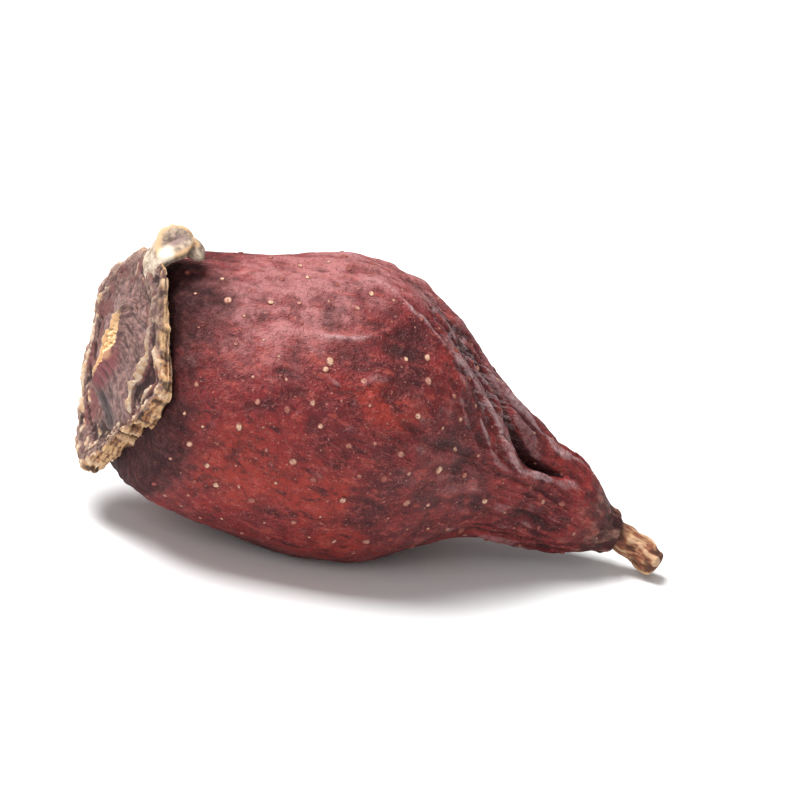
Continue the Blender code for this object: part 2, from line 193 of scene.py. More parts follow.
# How strong both are along the fruit: place, share
WRINKLE_STRENGTH = (
    (0.5, 0.60), (4.0, 0.34), (10.0, 0.30), (14.0, 0.50), (19.0, 0.95), (26.0, 1.00), (31.0, 0.80),
)
STRONGEST_WRINKLES = 1.5
WRINKLE_PATCHES = (7.0, 1.3, 23, 0.25, 1.8)  # in the same order as FOLD_BREAKS
# The share of them on the most wrinkled side, and how much less it is on the opposite side
MOST_WRINKLED, SMOOTHER_BY = 1.35, 0.8
SMOOTHEST_SIDE = math.radians(75)
# Swells and crinkles with no direction: size, height, seed
SKIN_SWELLS = ((5.2, 0.22, 11), (2.3, 0.12, 12), (1.1, 0.085, 13), (0.5, 0.048, 14))

# Patches of grey bloom with a painted sheen, of orange red and of a darker red: place, angle in degrees,
# radius, amount
SKIN_PATCHES = {
    "bloom_and_sheen": (
        (4.0, 18, 3.2, 0.7), (8.0, 8, 4.0, 0.9), (4.8, 46, 2.6, 0.7), (8.4, 40, 2.2, 0.6),
        (11.5, -10, 3.8, 0.9), (15.5, -22, 2.8, 0.7), (16.5, 92, 3.0, 0.7), (18.5, 96, 2.2, 0.5),
        (9.0, 300, 4.2, 0.8), (20.0, 310, 3.0, 0.6), (13.0, 215, 3.4, 0.5),
    ),
    "glow": (
        (11.2, 66, 1.9, 1.0), (13.6, 66, 1.3, 0.8), (4.4, 113, 1.8, 0.8), (7.4, 112, 2.2, 1.0),
        (11.4, 106, 2.4, 1.0), (13.4, 128, 2.2, 0.8), (5.4, 92, 1.8, 0.7), (24.6, 36, 1.2, 0.6),
        (7.0, 190, 3.0, 0.8), (14.0, 250, 2.6, 0.8), (21.5, 180, 2.4, 0.6), (5.0, 275, 2.2, 0.6),
    ),
    "dusk": (
        (15.8, 98, 3.0, 0.9), (19.6, 104, 2.0, 0.7), (12.6, 76, 1.2, 0.5), (12.4, 53, 1.5, 1.0),
        (14.2, 116, 1.4, 0.4), (12.8, 44, 1.5, 0.7), (15.4, 52, 1.4, 0.7), (9.8, 52, 0.9, 0.4),
        (10.0, 170, 3.4, 0.6), (9.6, 232, 3.0, 0.8), (17.0, 290, 2.6, 0.9), (26.5, 200, 2.0, 0.6),
    ),
}

# Where the dark shoulder beside the plate ends, mostly a painted shadow: angle in degrees, place
SHOULDER_SHADE = (
    (10, 3.2), (30, 3.5), (50, 2.4), (75, 2.0), (92, 2.7), (110, 3.2), (140, 3.0), (200, 2.6),
    (290, 2.8), (370, 3.2),
)

# Bristle scars that stand out on the near side: place, angle in degrees
LARGE_SCARS = (
    (2.4, 100), (3.2, 29), (5.0, 86), (5.2, 30), (5.6, 118), (7.2, 76), (7.8, 119), (8.4, 58),
    (8.6, 54), (8.6, 95), (9.6, 28), (10.0, 100), (10.4, 122), (10.6, 59), (11.0, 84), (12.0, 105),
    (13.6, 92), (13.8, 81), (13.8, 41), (14.0, 66), (14.2, 51), (14.8, 125), (15.6, 101), (16.6, 83),
    (17.2, 71), (18.0, 135), (20.6, 96), (20.6, 132), (23.2, 74), (24.4, 80), (25.6, 74),
)
LARGE_SCAR_RADIUS = 0.265
# The small ones are scattered at random, thinner where the fruit is thin
SCAR_SEED = 12
SCAR_TRIES = 3000
SCAR_STRETCH = (1.4, 30.0)  # places of the first and the last
SCAR_SPACING = 1.2
SCAR_RADIUS = 0.20
SMALL_SCAR_SHARES = (0.4, 0.5, 0.65, 0.85, 1.0)  # of that radius
WIDEST_RADIUS = 8.2  # of the fruit
# Section of a scar: share of its radius, height as a share of its radius
SCAR_SECTION = ((0.0, 0.14), (0.22, 0.18), (0.46, 0.24), (0.74, 0.12), (1.0, -0.14))
SCAR_AROUND = 12
# Size and height of the noise that makes grown pieces uneven, and the seed of their shades
SCAR_CRUMPLE, STYLE_CRUMPLE = (0.22, 0.055), (0.22, 0.07)
SHADE_SEEDS = {"bristle_scars": 3, "style_tips": 4}

# Calyx plate: angle in degrees, radius of the torn outline, how far its rim curls back to the body
PLATE_OUTLINE = (
    (4, 6.45, 0.20), (25, 6.60, 0.15), (45, 6.30, 0.25), (60, 6.05, 0.30), (74, 6.35, 0.30),
    (83, 6.50, 0.20), (94, 5.75, 0.05), (110, 4.90, 0.00), (132, 4.55, 0.00), (152, 4.95, 0.00),
    (166, 5.70, 0.00), (178, 6.80, 0.00), (188, 6.90, 0.00), (202, 6.85, 0.00), (222, 6.40, 0.00),
    (240, 6.30, 0.00), (258, 5.95, 0.00), (272, 6.20, 0.00), (282, 6.40, 0.00), (296, 5.95, 0.00),
    (312, 5.60, 0.00), (330, 5.70, 0.05), (350, 6.20, 0.15), (364, 6.45, 0.20),
)
PLATE_RADIUS = 6.4
PLATE_WARP = ((2, 0.22, 2.4), (3, 0.12, 0.5))
PLATE_AROUND = 420
PLATE_HOLE = 0.25  # share of the radius where its rings begin
# The plate's section: share of the radius, place along the axis, how much of the warp it takes
PLATE_FRONT = (
    (0.00, -0.14, 0.0), (0.50, -0.16, 0.0), (0.60, -0.20, 0.1), (0.70, -0.26, 0.4), (0.80, -0.30, 0.7),
    (0.88, -0.34, 0.9), (0.94, -0.30, 1.0), (0.98, -0.20, 1.0), (1.00, -0.08, 1.0),
)
PLATE_BACK = (
    (0.00, 0.46, 0.0), (0.60, 0.46, 0.1), (0.80, 0.44, 0.5), (0.90, 0.24, 0.9), (0.96, 0.10, 1.0),
    (0.985, 0.04, 1.0), (1.00, -0.02, 1.0),
)
# The rim is thickest where the plate tore away at its lower near side: angle in degrees, thickening
RIM_THICKENING = (
    (4, 0.0), (60, 0.1), (84, 0.4), (105, 1.1), (150, 1.1), (172, 0.7), (195, 0.1), (364, 0.0),
)
RIM_SPREAD = 0.45  # how far each face moves out where the thickening is 1
BACK_RELIEF = 0.6  # how much of the face's relief the back has
# Broad lumps, and the noise that bends the torn ridges: size, height, seed
PLATE_LUMPS = ((1.7, 0.16, 46), (0.7, 0.08, 47))
RIDGE_SWAY = ((1.3, 0.18, 91), (0.5, 0.10, 92))
RIDGE_BREAKS = (0.9, 1.6, 93, 0.25, 1.6)  # in the same order as FOLD_BREAKS
# The other noise of the plate, in rows of size, height and seed: torn edge, flakes and crumbs
RIM_SWELLS, RIM_NOTCHES, RIM_FRINGE = ((1.4, 0.30, 41),), ((0.8, 0.26, 42),), ((0.32, 0.12, 40),)
FLAKES_ROUND, FLAKES_ACROSS = ((1.0, 0.26, 43),), ((0.8, 0.14, 44),)
CRUMB_RIDGES, CRUMBS = ((0.40, 0.045, 48),), ((0.20, 0.03, 49),)
FLAKE_STEP = 0.10  # height of one layer of flakes
# The face is rough from this share of the radius on, least at one angle in degrees
ROUGH_FROM, ROUGH_SOFTNESS, SMOOTH_PART = 0.60, 0.14, 320
# Parts of the plate with colours of their own: angle in degrees, half width in radians
PLATE_NEAR, PLATE_FAR = (35, 0.55), (285, 1.3)
# the sunken spot is darkened with painted shade
PLATE_SUNKEN = (176, 4.2, 1.1)  # angle in degrees, distance from the axis, radius
# The torn wall: size and seed of its layers and of its pits, and how deep both are
WALL_LAYERS, WALL_PITS = (0.62, 49), (0.4, 50)
WALL_LAYER_DEPTH, WALL_PIT_DEPTH = 0.13, 0.05
# Torn ridges on the plate's face: angle in degrees, distance from the axis, height, half width
FACE_RIDGES = (
    # the thin one inside the near rim, which runs in towards the middle lower down
    (
        (30, 5.6, 0.00, 0.18), (42, 5.2, 0.22, 0.18), (56, 4.9, 0.34, 0.18), (70, 4.7, 0.38, 0.18),
        (82, 4.1, 0.44, 0.22), (94, 3.5, 0.52, 0.24), (106, 3.7, 0.40, 0.24), (118, 4.2, 0.18, 0.22),
        (130, 4.5, 0.00, 0.20),
    ),
    # a short one between it and the rim
    (
        (60, 5.5, 0.00, 0.16), (75, 5.5, 0.18, 0.16), (90, 5.0, 0.20, 0.16), (106, 4.5, 0.00, 0.16),
    ),
    # the one inside the far rim
    (
        (200, 5.4, 0.00, 0.22), (225, 5.2, 0.24, 0.20), (255, 4.9, 0.24, 0.20), (285, 5.1, 0.18, 0.22),
        (318, 5.0, 0.10, 0.24), (345, 5.4, 0.00, 0.24),
    ),
)
# Sunken spots on the face: angle in degrees, distance from the axis, depth, radius
FACE_HOLLOWS = ((168, 3.9, 0.34, 1.0), (188, 5.0, 0.22, 0.7), (78, 5.4, 0.20, 0.5), (20, 4.7, 0.10, 0.9))
PLATE_FRONT_RINGS, PLATE_WALL_RINGS, PLATE_BACK_RINGS = 96, 16, 34

# Nectary dome: radius, place along the axis
DOME_TOP = -1.2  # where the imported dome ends
DOME_PROFILE = (
    (0.0, -0.40), (0.8, -0.40), (1.46, -0.44), (1.62, -0.70), (1.70, -1.06), (1.82, -1.20),
    (2.04, -1.12), (2.45, -0.84), (3.00, -0.52), (3.50, -0.30), (3.85, -0.16), (4.05, 0.00),
)
DOME_EDGE = 4.1
# Parts of it with colours of their own, in the same kind of rows as the plate's
DOME_LOWER, DOME_FAR = (140, 0.9), (275, 1.2)
# the sunken spot is darkened with painted shade
DOME_SUNKEN, DOME_HOLLOW = (168, 3.1, 1.0), 0.16  # the spot, and how deep it is
# Lumps, and furrows that run in to the mouth: size, height, seed
DOME_LUMPS = ((1.3, 0.20, 53), (0.5, 0.10, 54), (0.24, 0.04, 56))
DOME_FURROWS = ((0.75, 0.05, 51), (0.35, 0.02, 52))
# The mouth is long and narrow: how much longer and narrower than round, the angle of its long axis,
# and how far its middle lies towards the near side and upwards
MOUTH_LONG, MOUTH_NARROW = 1.34, 0.46
MOUTH_ANGLE = math.radians(19)
MOUTH_HALF_LENGTH = 1.6
MOUTH_TAPER = 0.62  # how much narrower still its two ends are
MOUTH_SHIFT = (0.12, 0.45)
MOUTH_REACH, MOUTH_END = 2.0, 3.6  # distances from the axis where this holds and where it has died out
# Lumps beside the mouth: angle in degrees, distance from the axis, height, radius
MOUTH_KNOB = (112, 1.80, 0.34, 0.42)
MOUTH_LUMPS = ((140, 1.90, 0.30, 0.50), (165, 2.10, 0.18, 0.45))
DOME_AROUND, DOME_RINGS = 280, 96
# The disc in the mouth that the styles stand on: place along the axis, radius
STYLE_GROUND = (-0.72, 1.50)
STYLE_GROUND_AROUND = 32

# Sepal stub: place along the axis, distance from the axis, half thickness, half width
SEPAL_ANGLE = math.radians(4)
SEPAL_PATH = (
    (-0.25, 4.75, 0.18, 0.85),
    (-0.20, 5.60, 0.36, 1.15),
    (0.15, 6.55, 0.58, 1.10),
    (0.85, 7.40, 0.66, 0.98),
    (1.45, 7.50, 0.55, 0.80),
    (2.10, 6.85, 0.42, 0.62),
)
SEPAL_FOOT_SHIFT = 0.7  # how far its foot lies towards the near side
# Spots on it: share of its length, degrees round it from the near side towards its outside,
# half length as a share of its length, half width in radians
SEPAL_HOLLOW = (0.60, 50, 0.17, 0.80)
SEPAL_NUB = (0.93, 10, 0.08, 0.80)
SEPAL_BRIGHT = (0.42, 28, 0.12, 0.70)
SEPAL_LUMPS = ((1.2, 0.26, 61), (0.5, 0.11, 62), (0.24, 0.045, 63))  # size, height, seed
SEPAL_AROUND, SEPAL_RINGS = 130, 150

# Stalk stub: place along the axis, shift towards the near side, height above the axis, radius
STALK_PATH = (
    (30.0, 0.00, 0.00, 0.80),
    (30.8, 0.02, -0.05, 0.80),
    (31.5, 0.16, -0.20, 0.80),
    (32.3, 0.52, -0.35, 0.82),
    (33.0, 0.98, -0.50, 0.84),
    (33.45, 1.27, -0.57, 0.72),
)
STALK_BREAK = 32.7  # the place where its rough end begins
BARK_TWIST = 0.10  # radians for each millimetre
BARK_SWELLS, BARK_RIDGES = ((0.62, 0.12, 71),), ((0.34, 0.06, 72),)  # size, height, seed
STALK_AROUND, STALK_RINGS = 180, 150

# Studio
FLOOR_WIDTH = 6.0  # metres
ROOM_LIGHT = 0.32
CAMERA_AZIMUTH = math.radians(-15)
CAMERA_ELEVATION = math.radians(20.2)
CAMERA_ROLL = math.radians(11.5)
CAMERA_LENS, CAMERA_SENSOR = 150, 36
VIEW_WIDTH = 0.0445  # what the frame takes in at the fruit, in metres


def spline(rows, at):
    """The values at each place along smooth curves through the rows, one column for each value."""
    rows = np.array(rows, float)
    at = np.clip(np.asarray(at, float), rows[0, 0], rows[-1, 0])
    places, values = rows[:, 0], rows[:, 1:]
    low = np.maximum(np.arange(len(rows)) - 1, 0)
    high = np.minimum(np.arange(len(rows)) + 1, len(rows) - 1)
    slopes = (values[high] - values[low]) / (places[high] - places[low])[:, None]
    k = np.clip(np.searchsorted(places, at, side="right") - 1, 0, len(rows) - 2)
    span = (places[k + 1] - places[k])[..., None]
    t = (at - places[k])[..., None] / span
    return (
        values[k] * (2 * t**3 - 3 * t**2 + 1)
        + values[k + 1] * (3 * t**2 - 2 * t**3)
        + slopes[k] * span * (t**3 - 2 * t**2 + t)
        + slopes[k + 1] * span * (t**3 - t**2)
    )


def columns(rows, at):
    """The same values, as one array for each."""
    return np.moveaxis(spline(rows, at), -1, 0)


def round_fruit(rows, angle):
    """The values of rows that go once round the fruit and begin with an angle in degrees."""
    start = rows[0][0]
    return columns(rows, np.degrees((angle - math.radians(start)) % FULL_TURN) + start)


def led_by_share(path):
    """The rows of a path, each led by its share of the way, so that it can turn back on itself."""
    return [(i / (len(path) - 1), *row) for i, row in enumerate(path)]


def bell(distance, width):
    """1 at no distance, and smoothly less further away."""
    return np.exp(-((distance / width) ** 2))


def ease(value, none, whole):
    """0 up to none, 1 from whole on, and a soft change between them."""
    t = np.clip((value - none) / (whole - none), 0, 1)
    return t * t * (3 - 2 * t)


def turned_by(angle, other):
    """The signed angle from other to angle, at most half a turn."""
    return (angle - other + math.pi) % FULL_TURN - math.pi


def towards(angle, degrees, width):
    """1 on one side of the fruit and less away from it; the width is in radians."""
    return bell(turned_by(angle, math.radians(degrees)), width)


def around_axis(along, radius, angle):
    """Points at a distance from the fruit's axis; the three may be rows, columns or grids."""
    return np.stack(np.broadcast_arrays(along, -radius * np.sin(angle), radius * np.cos(angle)), axis=-1)


def face_spot(flat, degrees, reach, width):
    """1 at a spot of the calyx end, given by its angle and distance from the axis, and less round it."""
    middle = around_axis(0, reach, math.radians(degrees))
    return bell(np.linalg.norm(flat - middle, axis=-1), width)


def skin_spot(at, angle, radius, middle, degrees, width):
    """1 at a spot of the skin, given by its place and angle, and less round it."""
    across = radius * turned_by(angle, math.radians(degrees))
    return bell(np.hypot(at - middle, across), width)


def grain(points, size, seed):
    """Smooth noise, mostly from -0.7 to 0.7, whose swells are about that many millimetres apart."""
    shape = points.shape[:-1]
    shifted = points.reshape(-1, 3) / size + 31.7 * seed
    return np.array([noise.noise(point) for point in shifted.tolist()]).reshape(shape)


def grains(points, rows, kind=grain):
    """Noise of one kind added up, one for each row of size, height and seed."""
    return sum(height * kind(points, size, seed) for size, height, seed in rows)


def varied(points, size, amount, seed, least, most):
    """A share round 1 that noise makes smaller or larger, within limits."""
    return np.clip(1.0 + amount * grain(points, size, seed), least, most)


def crease(points, size, seed):
    """Rounded tops with sharp valleys between them, from about -0.5 to 1."""
    return 3.2 * np.abs(grain(points, size, seed)) - 0.7


def find_fruit_origin():
    """The origin of the fruit's frame, in millimetres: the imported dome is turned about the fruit's axis."""
    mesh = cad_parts["nectary_dome"].data
    along_fruit = np.array([vertex.co for vertex in mesh.vertices]) / MM @ TURN
    middle = (along_fruit.min(0) + along_fruit.max(0)) / 2
    off_axis = along_fruit - middle
    upright = along_fruit[:, 0] + CALYX_LEAN * off_axis[:, 2] + CALYX_TURN * off_axis[:, 1]
    return TURN @ np.array((upright.min() - DOME_TOP, middle[1], middle[2]))


FRUIT_ORIGIN = find_fruit_origin()


def place(points):
    """Points of the fruit's frame, in millimetres, leaned at the calyx and set on the floor in metres."""
    leaned = points.copy()
    share = ease(points[..., 0], LEAN_END, LEAN_WHOLE)
    leaned[..., 0] -= share * (CALYX_LEAN * points[..., 2] + CALYX_TURN * points[..., 1])
    return (leaned @ TURN.T + FRUIT_ORIGIN) * MM


def soften(field, reach):
    """A field over rings and angles, averaged over reach cells each way."""
    count = 2 * reach + 1
    for axis, edges in ((0, "edge"), (1, "wrap")):
        for _ in range(2):
            pad = [(0, 0), (0, 0)]
            pad[axis] = (reach, reach)
            total = np.cumsum(np.pad(field, pad, mode=edges), axis=axis)
            total = np.concatenate((np.zeros_like(np.take(total, [0], axis)), total), axis=axis)
            high = np.take(total, np.arange(count, count + field.shape[axis]), axis)
            low = np.take(total, np.arange(0, field.shape[axis]), axis)
            field = (high - low) / count
    return field


def stands_out(relief, reach, full):
    """From -1 to 1, how far a relief lies over its surroundings; full is the height that counts as 1."""
    return np.clip((relief - soften(relief, reach)) / full, -1, 1)


def show(name, data):
    """An object in the scene for a mesh, a lamp or a camera."""
    shown = bpy.data.objects.new(name, data)
    bpy.context.scene.collection.objects.link(shown)
    return shown


def carry(mesh, mark, values):
    """Lets the mesh carry one number for each of its points."""
    mesh.attributes.new(mark, "FLOAT", "POINT").data.foreach_set("value", np.asarray(values, np.float32))


def close_rings(name, rings, finish, marks):
    """A closed smooth piece through rings of points, whose first and last ring are each shut by a point.

    marks holds one number for each point of the rings, under the attribute names that materials read.
    """
    count, around = rings.shape[:2]
    ends = np.array((rings[0].mean(0), rings[-1].mean(0)))
    points = place(np.vstack((rings.reshape(-1, 3), ends)))
    index = np.arange(count * around).reshape(count, around)
    after = np.roll(index, -1, axis=1)
    first, last = count * around, count * around + 1
    faces = np.stack((index[:-1], after[:-1], after[1:], index[1:]), axis=-1).reshape(-1, 4).tolist()
    faces += [(first, b, a) for a, b in zip(index[0].tolist(), after[0].tolist())]
    faces += [(last, a, b) for a, b in zip(index[-1].tolist(), after[-1].tolist())]
    mesh = bpy.data.meshes.new(name)
    mesh.from_pydata(points.tolist(), [], faces)
    bm = bmesh.new()
    bm.from_mesh(mesh)
    bmesh.ops.recalc_face_normals(bm, faces=bm.faces)
    bm.to_mesh(mesh)
    bm.free()
    for mark, values in marks.items():
        values = np.broadcast_to(values, (count, around))
        carry(mesh, mark, np.concatenate((values.reshape(-1), (values[0].mean(), values[-1].mean()))))
    mesh.shade_smooth()
    mesh.materials.append(finish)
    return show(name, mesh)


def angles_of(count):
    """Evenly spaced angles round the fruit, as a row."""
    return (np.arange(count) * FULL_TURN / count)[None, :]


def fold_height(at, angle, radius, rows, sway, broken):
    """The height that one fold adds to the skin; sway bends its line and broken varies its height."""
    fold_angle, height, width = columns(rows, at)
    inside = (at > rows[0][0]) & (at < rows[-1][0])
    across = radius * turned_by(angle, np.radians(fold_angle)) + sway
    return np.where(inside, height * broken * bell(across, width), 0)


def pleat_height(at, angle, radius):
    """The main pleat: a crease with a steep upper wall."""
    pleat_angle, height, width = columns(MAIN_PLEAT, at)
    inside = (at > MAIN_PLEAT[0][0]) & (at < MAIN_PLEAT[-1][0])
    across = radius * turned_by(angle, np.radians(pleat_angle)) / width
    steep = np.where(across < 0, PLEAT_UPPER_STEEPNESS, PLEAT_LOWER_STEEPNESS)
    return np.where(inside, height * np.exp(-np.abs(across * steep) ** PLEAT_SHARPNESS), 0)


def skin_relief(at, angle, radius):
    """How far the body's skin stands out from its plain outline, and the height of the near folds in it."""
    height = np.zeros_like(radius)
    for count, share, phase in BODY_LOBES:
        height += share * radius * np.cos(count * angle + phase + BODY_LOBE_TWIST * at)
    for middle, degrees, depth, width in BODY_DENTS:
        height -= depth * skin_spot(at, angle, radius, middle, degrees, width)
    for degrees, start, end, depth, width in NECK_FOLDS:
        across = radius * turned_by(angle, math.radians(degrees))
        deepest_midway = np.sin(math.pi * np.clip((at - start) / (end - start), 0, 1))
        height -= depth * deepest_midway * bell(across, width)
    solid = around_axis(at, radius, angle)
    sway = grains(solid, FOLD_SWAY)
    broken = varied(solid, *FOLD_BREAKS)
    folds = sum(fold_height(at, angle, radius, rows, sway, broken) for rows in NEAR_FOLDS)
    return height + folds + pleat_height(at, angle, radius), folds


def near_pleat(at, angle, radius):
    """1 along the pleat's middle stretch, where thin wrinkles crowd together, and less away from it."""
    pleat_angle = columns(MAIN_PLEAT, at)[0] + CROWD_BELOW_PLEAT
    across = radius * turned_by(angle, np.radians(pleat_angle))
    return bell(across, CROWD_WIDTH) * bell(at - CROWD_MIDDLE, CROWD_LENGTH)


def skin_wrinkles(at, angle, radius):
    """The wrinkles and crinkles that cover the whole skin."""
    solid = around_axis(at, radius, angle)
    height = grains(solid, SKIN_SWELLS)
    # the neck has as many wrinkles round it as the belly, so they crowd together there
    sway = grains(solid, WRINKLE_SWAY)
    strength = columns(WRINKLE_STRENGTH, at)[0]
    smooth_side = 0.5 + 0.5 * np.cos(turned_by(angle, SMOOTHEST_SIDE))
    strength = strength * (MOST_WRINKLED - SMOOTHER_BY * smooth_side)
    strength = strength * varied(solid, *WRINKLE_PATCHES)
    strength = np.minimum(strength * (1 + CROWDING * near_pleat(at, angle, radius)), STRONGEST_WRINKLES)
    for rows, sharp in ((LONG_WRINKLES, 1), (FINE_LINES, -1)):
        for width, length, tall, seed in rows:
            unrolled = around_axis(at * width / length, UNROLLED_RADIUS, angle + sway)
            # where the fruit is thin, wide wrinkles are lower
            limit = np.clip(radius / (4 * width), 0.25, 1.0)
            height += sharp * tall * strength * limit * crease(unrolled, width, seed)
    return height


def body_sections():
    """The body's cross-sections, as columns: the station that shapes each, its place, its share of that."""
    first, last = BODY_STATIONS[0][0], BODY_STATIONS[-1][0]
    drop = SHOULDER_DROP / BODY_STATIONS[0][3]
    cap = [
        (first, first - SHOULDER_LENGTH - CAP_BULGE + 0.1 * t, CAP_WIDTH * t) for t in (0.2, 0.5, 0.8, 1.0)
    ]
    turns = [math.pi / 2 * i / SHOULDER_RINGS for i in range(SHOULDER_RINGS, 0, -1)]
    shoulder = [(first, first - SHOULDER_LENGTH * math.sin(t), 1 - drop * (1 - math.cos(t))) for t in turns]
    main = [(p, p, 1.0) for p in np.linspace(first, last, BODY_ALONG)]
    turns = [math.pi / 2 * i / NECK_END_RINGS for i in range(1, NECK_END_RINGS + 1)]
    neck_end = [
        (last, last + NECK_END_LENGTH * math.sin(t), 1 - NECK_END_DROP * (1 - math.cos(t))) for t in turns
    ]
    dimple = [
        (last, last + NECK_END_LENGTH - NECK_END_DIMPLE * t, 0.70 - 0.4 * t) for t in (0.3, 0.7, 1.0)
    ]
    return np.array(cap + shoulder + main + neck_end + dimple).T[..., None]


def body_skin():
    """The body's rings of points and the marks of its skin."""
    station, along, share = body_sections()
    top, bottom, side = columns(BODY_STATIONS, station[:, 0])[..., None]
    middle, rise = (top + bottom) / 2, (top - bottom) / 2
    grids = np.broadcast_arrays(station, angles_of(BODY_AROUND), along)
    station, angle, along = (grid.copy() for grid in grids)
    radius = (rise + side) / 2 + 0 * angle
    relief, folds = skin_relief(station, angle, radius)
    # the wrinkles die out in the middle of both closed ends
    relief = relief + skin_wrinkles(along, angle, radius * share) * np.clip((share - 0.3) / 0.5, 0, 1)
    # knots round the end of the neck, where the stalk joins
    knots = KNOT_HEIGHT * np.cos(KNOTS * angle + 1.5 * np.sin(2 * angle))
    relief = relief + knots * bell(along - (BODY_STATIONS[-1][0] + 0.2), 0.55)
    grown = share * (1 + relief / radius)
    rings = np.stack((along, -side * np.sin(angle) * grown, middle + rise * np.cos(angle) * grown), axis=-1)
    marks = {
        "along": along,
        "lace": near_pleat(along, angle, radius),
        # where the painted shadow beside the plate lies on the shoulder
        "shoulder": np.clip((round_fruit(SHOULDER_SHADE, angle)[0] - along) / 2.0, -1, 1),
        "lip": np.clip(folds / 0.20, 0, 1),
        "crest": stands_out(relief, 4, 0.06),
        "ridge": stands_out(relief, 8, 0.16),
        "fold": stands_out(relief, 14, 0.30),
    }
    for kind, patches in SKIN_PATCHES.items():
        marks[kind] = sum(
            amount * skin_spot(along, angle, radius, middle, degrees, width)
            for middle, degrees, width, amount in patches
        )
    return rings, marks


def make_body(rings, marks, finish):
    """The body's skin, pressed flat where it meets the floor."""
    body = close_rings("hip_skin", rings, finish, marks)
    points = np.zeros(len(body.data.vertices) * 3, np.float32)
    body.data.vertices.foreach_get("co", points)
    height = points[2::3]
    points[2::3] = (height + np.sqrt(height**2 + (BELLY_SOFTNESS * MM) ** 2)) / 2
    body.data.vertices.foreach_set("co", points)
    return body


def plate_outline(angle, side):
    """The torn outline of the calyx plate, in millimetres from the axis, and how far it curls back.

    side runs from under 1 on the plate's face to over 1 on its back, so that the edge is torn unevenly.
    """
    radius, curl = round_fruit(PLATE_OUTLINE, angle)
    edge = around_axis(0, PLATE_RADIUS, angle)
    uneven = around_axis(14 * (side - 1), PLATE_RADIUS, angle)
    tear = grains(edge, RIM_SWELLS) - np.abs(grains(uneven, RIM_NOTCHES))
    return radius + tear + grains(uneven, RIM_FRINGE), curl


def terraces(field, step):
    """The field cut into soft steps of that height."""
    level = np.floor(field / step)
    part = field / step - level
    return step * (level + np.clip((part - 0.35) / 0.3, 0, 1))


def face_relief(angle, radius):
    """The torn ridges and the hollows of the plate's face."""
    degrees = np.degrees(angle % FULL_TURN)
    height = np.zeros_like(radius)
    flat = around_axis(0, radius, angle)
    sway = grains(flat, RIDGE_SWAY)
    broken = varied(flat, *RIDGE_BREAKS)
    for rows in FACE_RIDGES:
        reach, tall, width = columns(rows, degrees)
        inside = (degrees > rows[0][0]) & (degrees < rows[-1][0])
        height += np.where(inside, tall * bell(radius - reach + sway, width) * broken, 0)
    for hollow_angle, reach, depth, width in FACE_HOLLOWS:
        height -= depth * face_spot(flat, hollow_angle, reach, width)
    return height


def plate_sections():
    """The plate's rings, as columns: share of the radius, place, share of the warp and share of the face.

    The last goes from 1 on the face to 0 on the back, through the rings of the torn wall between them.
    """
    front_share = np.linspace(PLATE_HOLE, 1.0, PLATE_FRONT_RINGS)[:, None]
    back_share = np.linspace(0.995, PLATE_HOLE, PLATE_BACK_RINGS)[:, None]
    depth = np.linspace(0, 1, PLATE_WALL_RINGS + 2)[1:-1, None]
    share = np.vstack((front_share, np.ones_like(depth), back_share))
    front, back = spline(PLATE_FRONT, front_share[:, 0]), spline(PLATE_BACK, back_share[:, 0])
    along, warped = np.vstack((front, front[-1] + depth * (back[0] - front[-1]), back)).T[..., None]
    is_front = np.vstack((np.ones_like(front_share), 1 - depth, np.zeros_like(back_share)))
    return share, along, warped, is_front


def make_plate(finish):
    """The disc that the fallen sepals left: a thin torn rim round a flat ring of stamen scars."""
    angle = angles_of(PLATE_AROUND)
    share, along, warped, is_front = plate_sections()
    side = np.where(is_front > 0, share, 2 - share) + 0 * angle
    outline, curl = plate_outline(angle, side)
    radius = share * (PLATE_RADIUS + share**2 * (outline - PLATE_RADIUS))
    warp = sum(height * np.cos(count * angle + phase) for count, height, phase in PLATE_WARP)
    flat = around_axis(0, radius, angle)
    thicker = round_fruit(RIM_THICKENING, angle)[0]
    # flakes lie round the plate, so their edges run along the rim
    flakes = around_axis(11 * share, 2.4, angle)
    rough = np.clip((share - ROUGH_FROM) / ROUGH_SOFTNESS, 0.15, 1)
    rough = rough * (1 - 0.65 * towards(angle, SMOOTH_PART, 0.8))
    layers = terraces(grains(flakes, FLAKES_ROUND) + grains(flat, FLAKES_ACROSS), FLAKE_STEP)
    crumbs = grains(flat, CRUMB_RIDGES, crease) + grains(flat, CRUMBS)
    height = rough * (layers + grains(flat, PLATE_LUMPS)) + crumbs * (0.35 + 0.65 * rough)
    height = height + face_relief(angle, radius)
    rings = flat.copy()
    # the curl and the thickening grow towards the rim
    rim = np.clip((share - 0.72) / 0.28, 0, 1) ** 1.5
    rings[..., 0] = along + warped * warp + curl * rim + RIM_SPREAD * thicker * rim * (1 - 2 * is_front)
    rings[..., 0] -= height * np.where(is_front > 0.5, 2 * is_front - 1, BACK_RELIEF * (2 * is_front - 1))
    # the torn wall is split into layers that run along the rim
    wall = np.clip(1 - np.abs(share - 1) / 0.035, 0, 1)
    layered = crease(around_axis(2.6 * rings[..., 0], 0.30 * PLATE_RADIUS, angle), *WALL_LAYERS)
    pitted = crease(around_axis(3 * rings[..., 0], 0.8 * PLATE_RADIUS, angle), *WALL_PITS)
    worn = WALL_LAYER_DEPTH * layered + WALL_PIT_DEPTH * pitted
    rings[..., 1:] *= 1 - (wall * worn / PLATE_RADIUS)[..., None]
    marks = {
        "reach": side,
        "crest": stands_out(height, 5, 0.10),
        "torn": thicker * rim,
        "layer": np.clip(-layered, -1, 1) * wall,
        "sunken": face_spot(flat, *PLATE_SUNKEN),
        "near": towards(angle, *PLATE_NEAR),
        "far": towards(angle, *PLATE_FAR),
    }
    return close_rings("calyx_disc", rings, finish, marks)


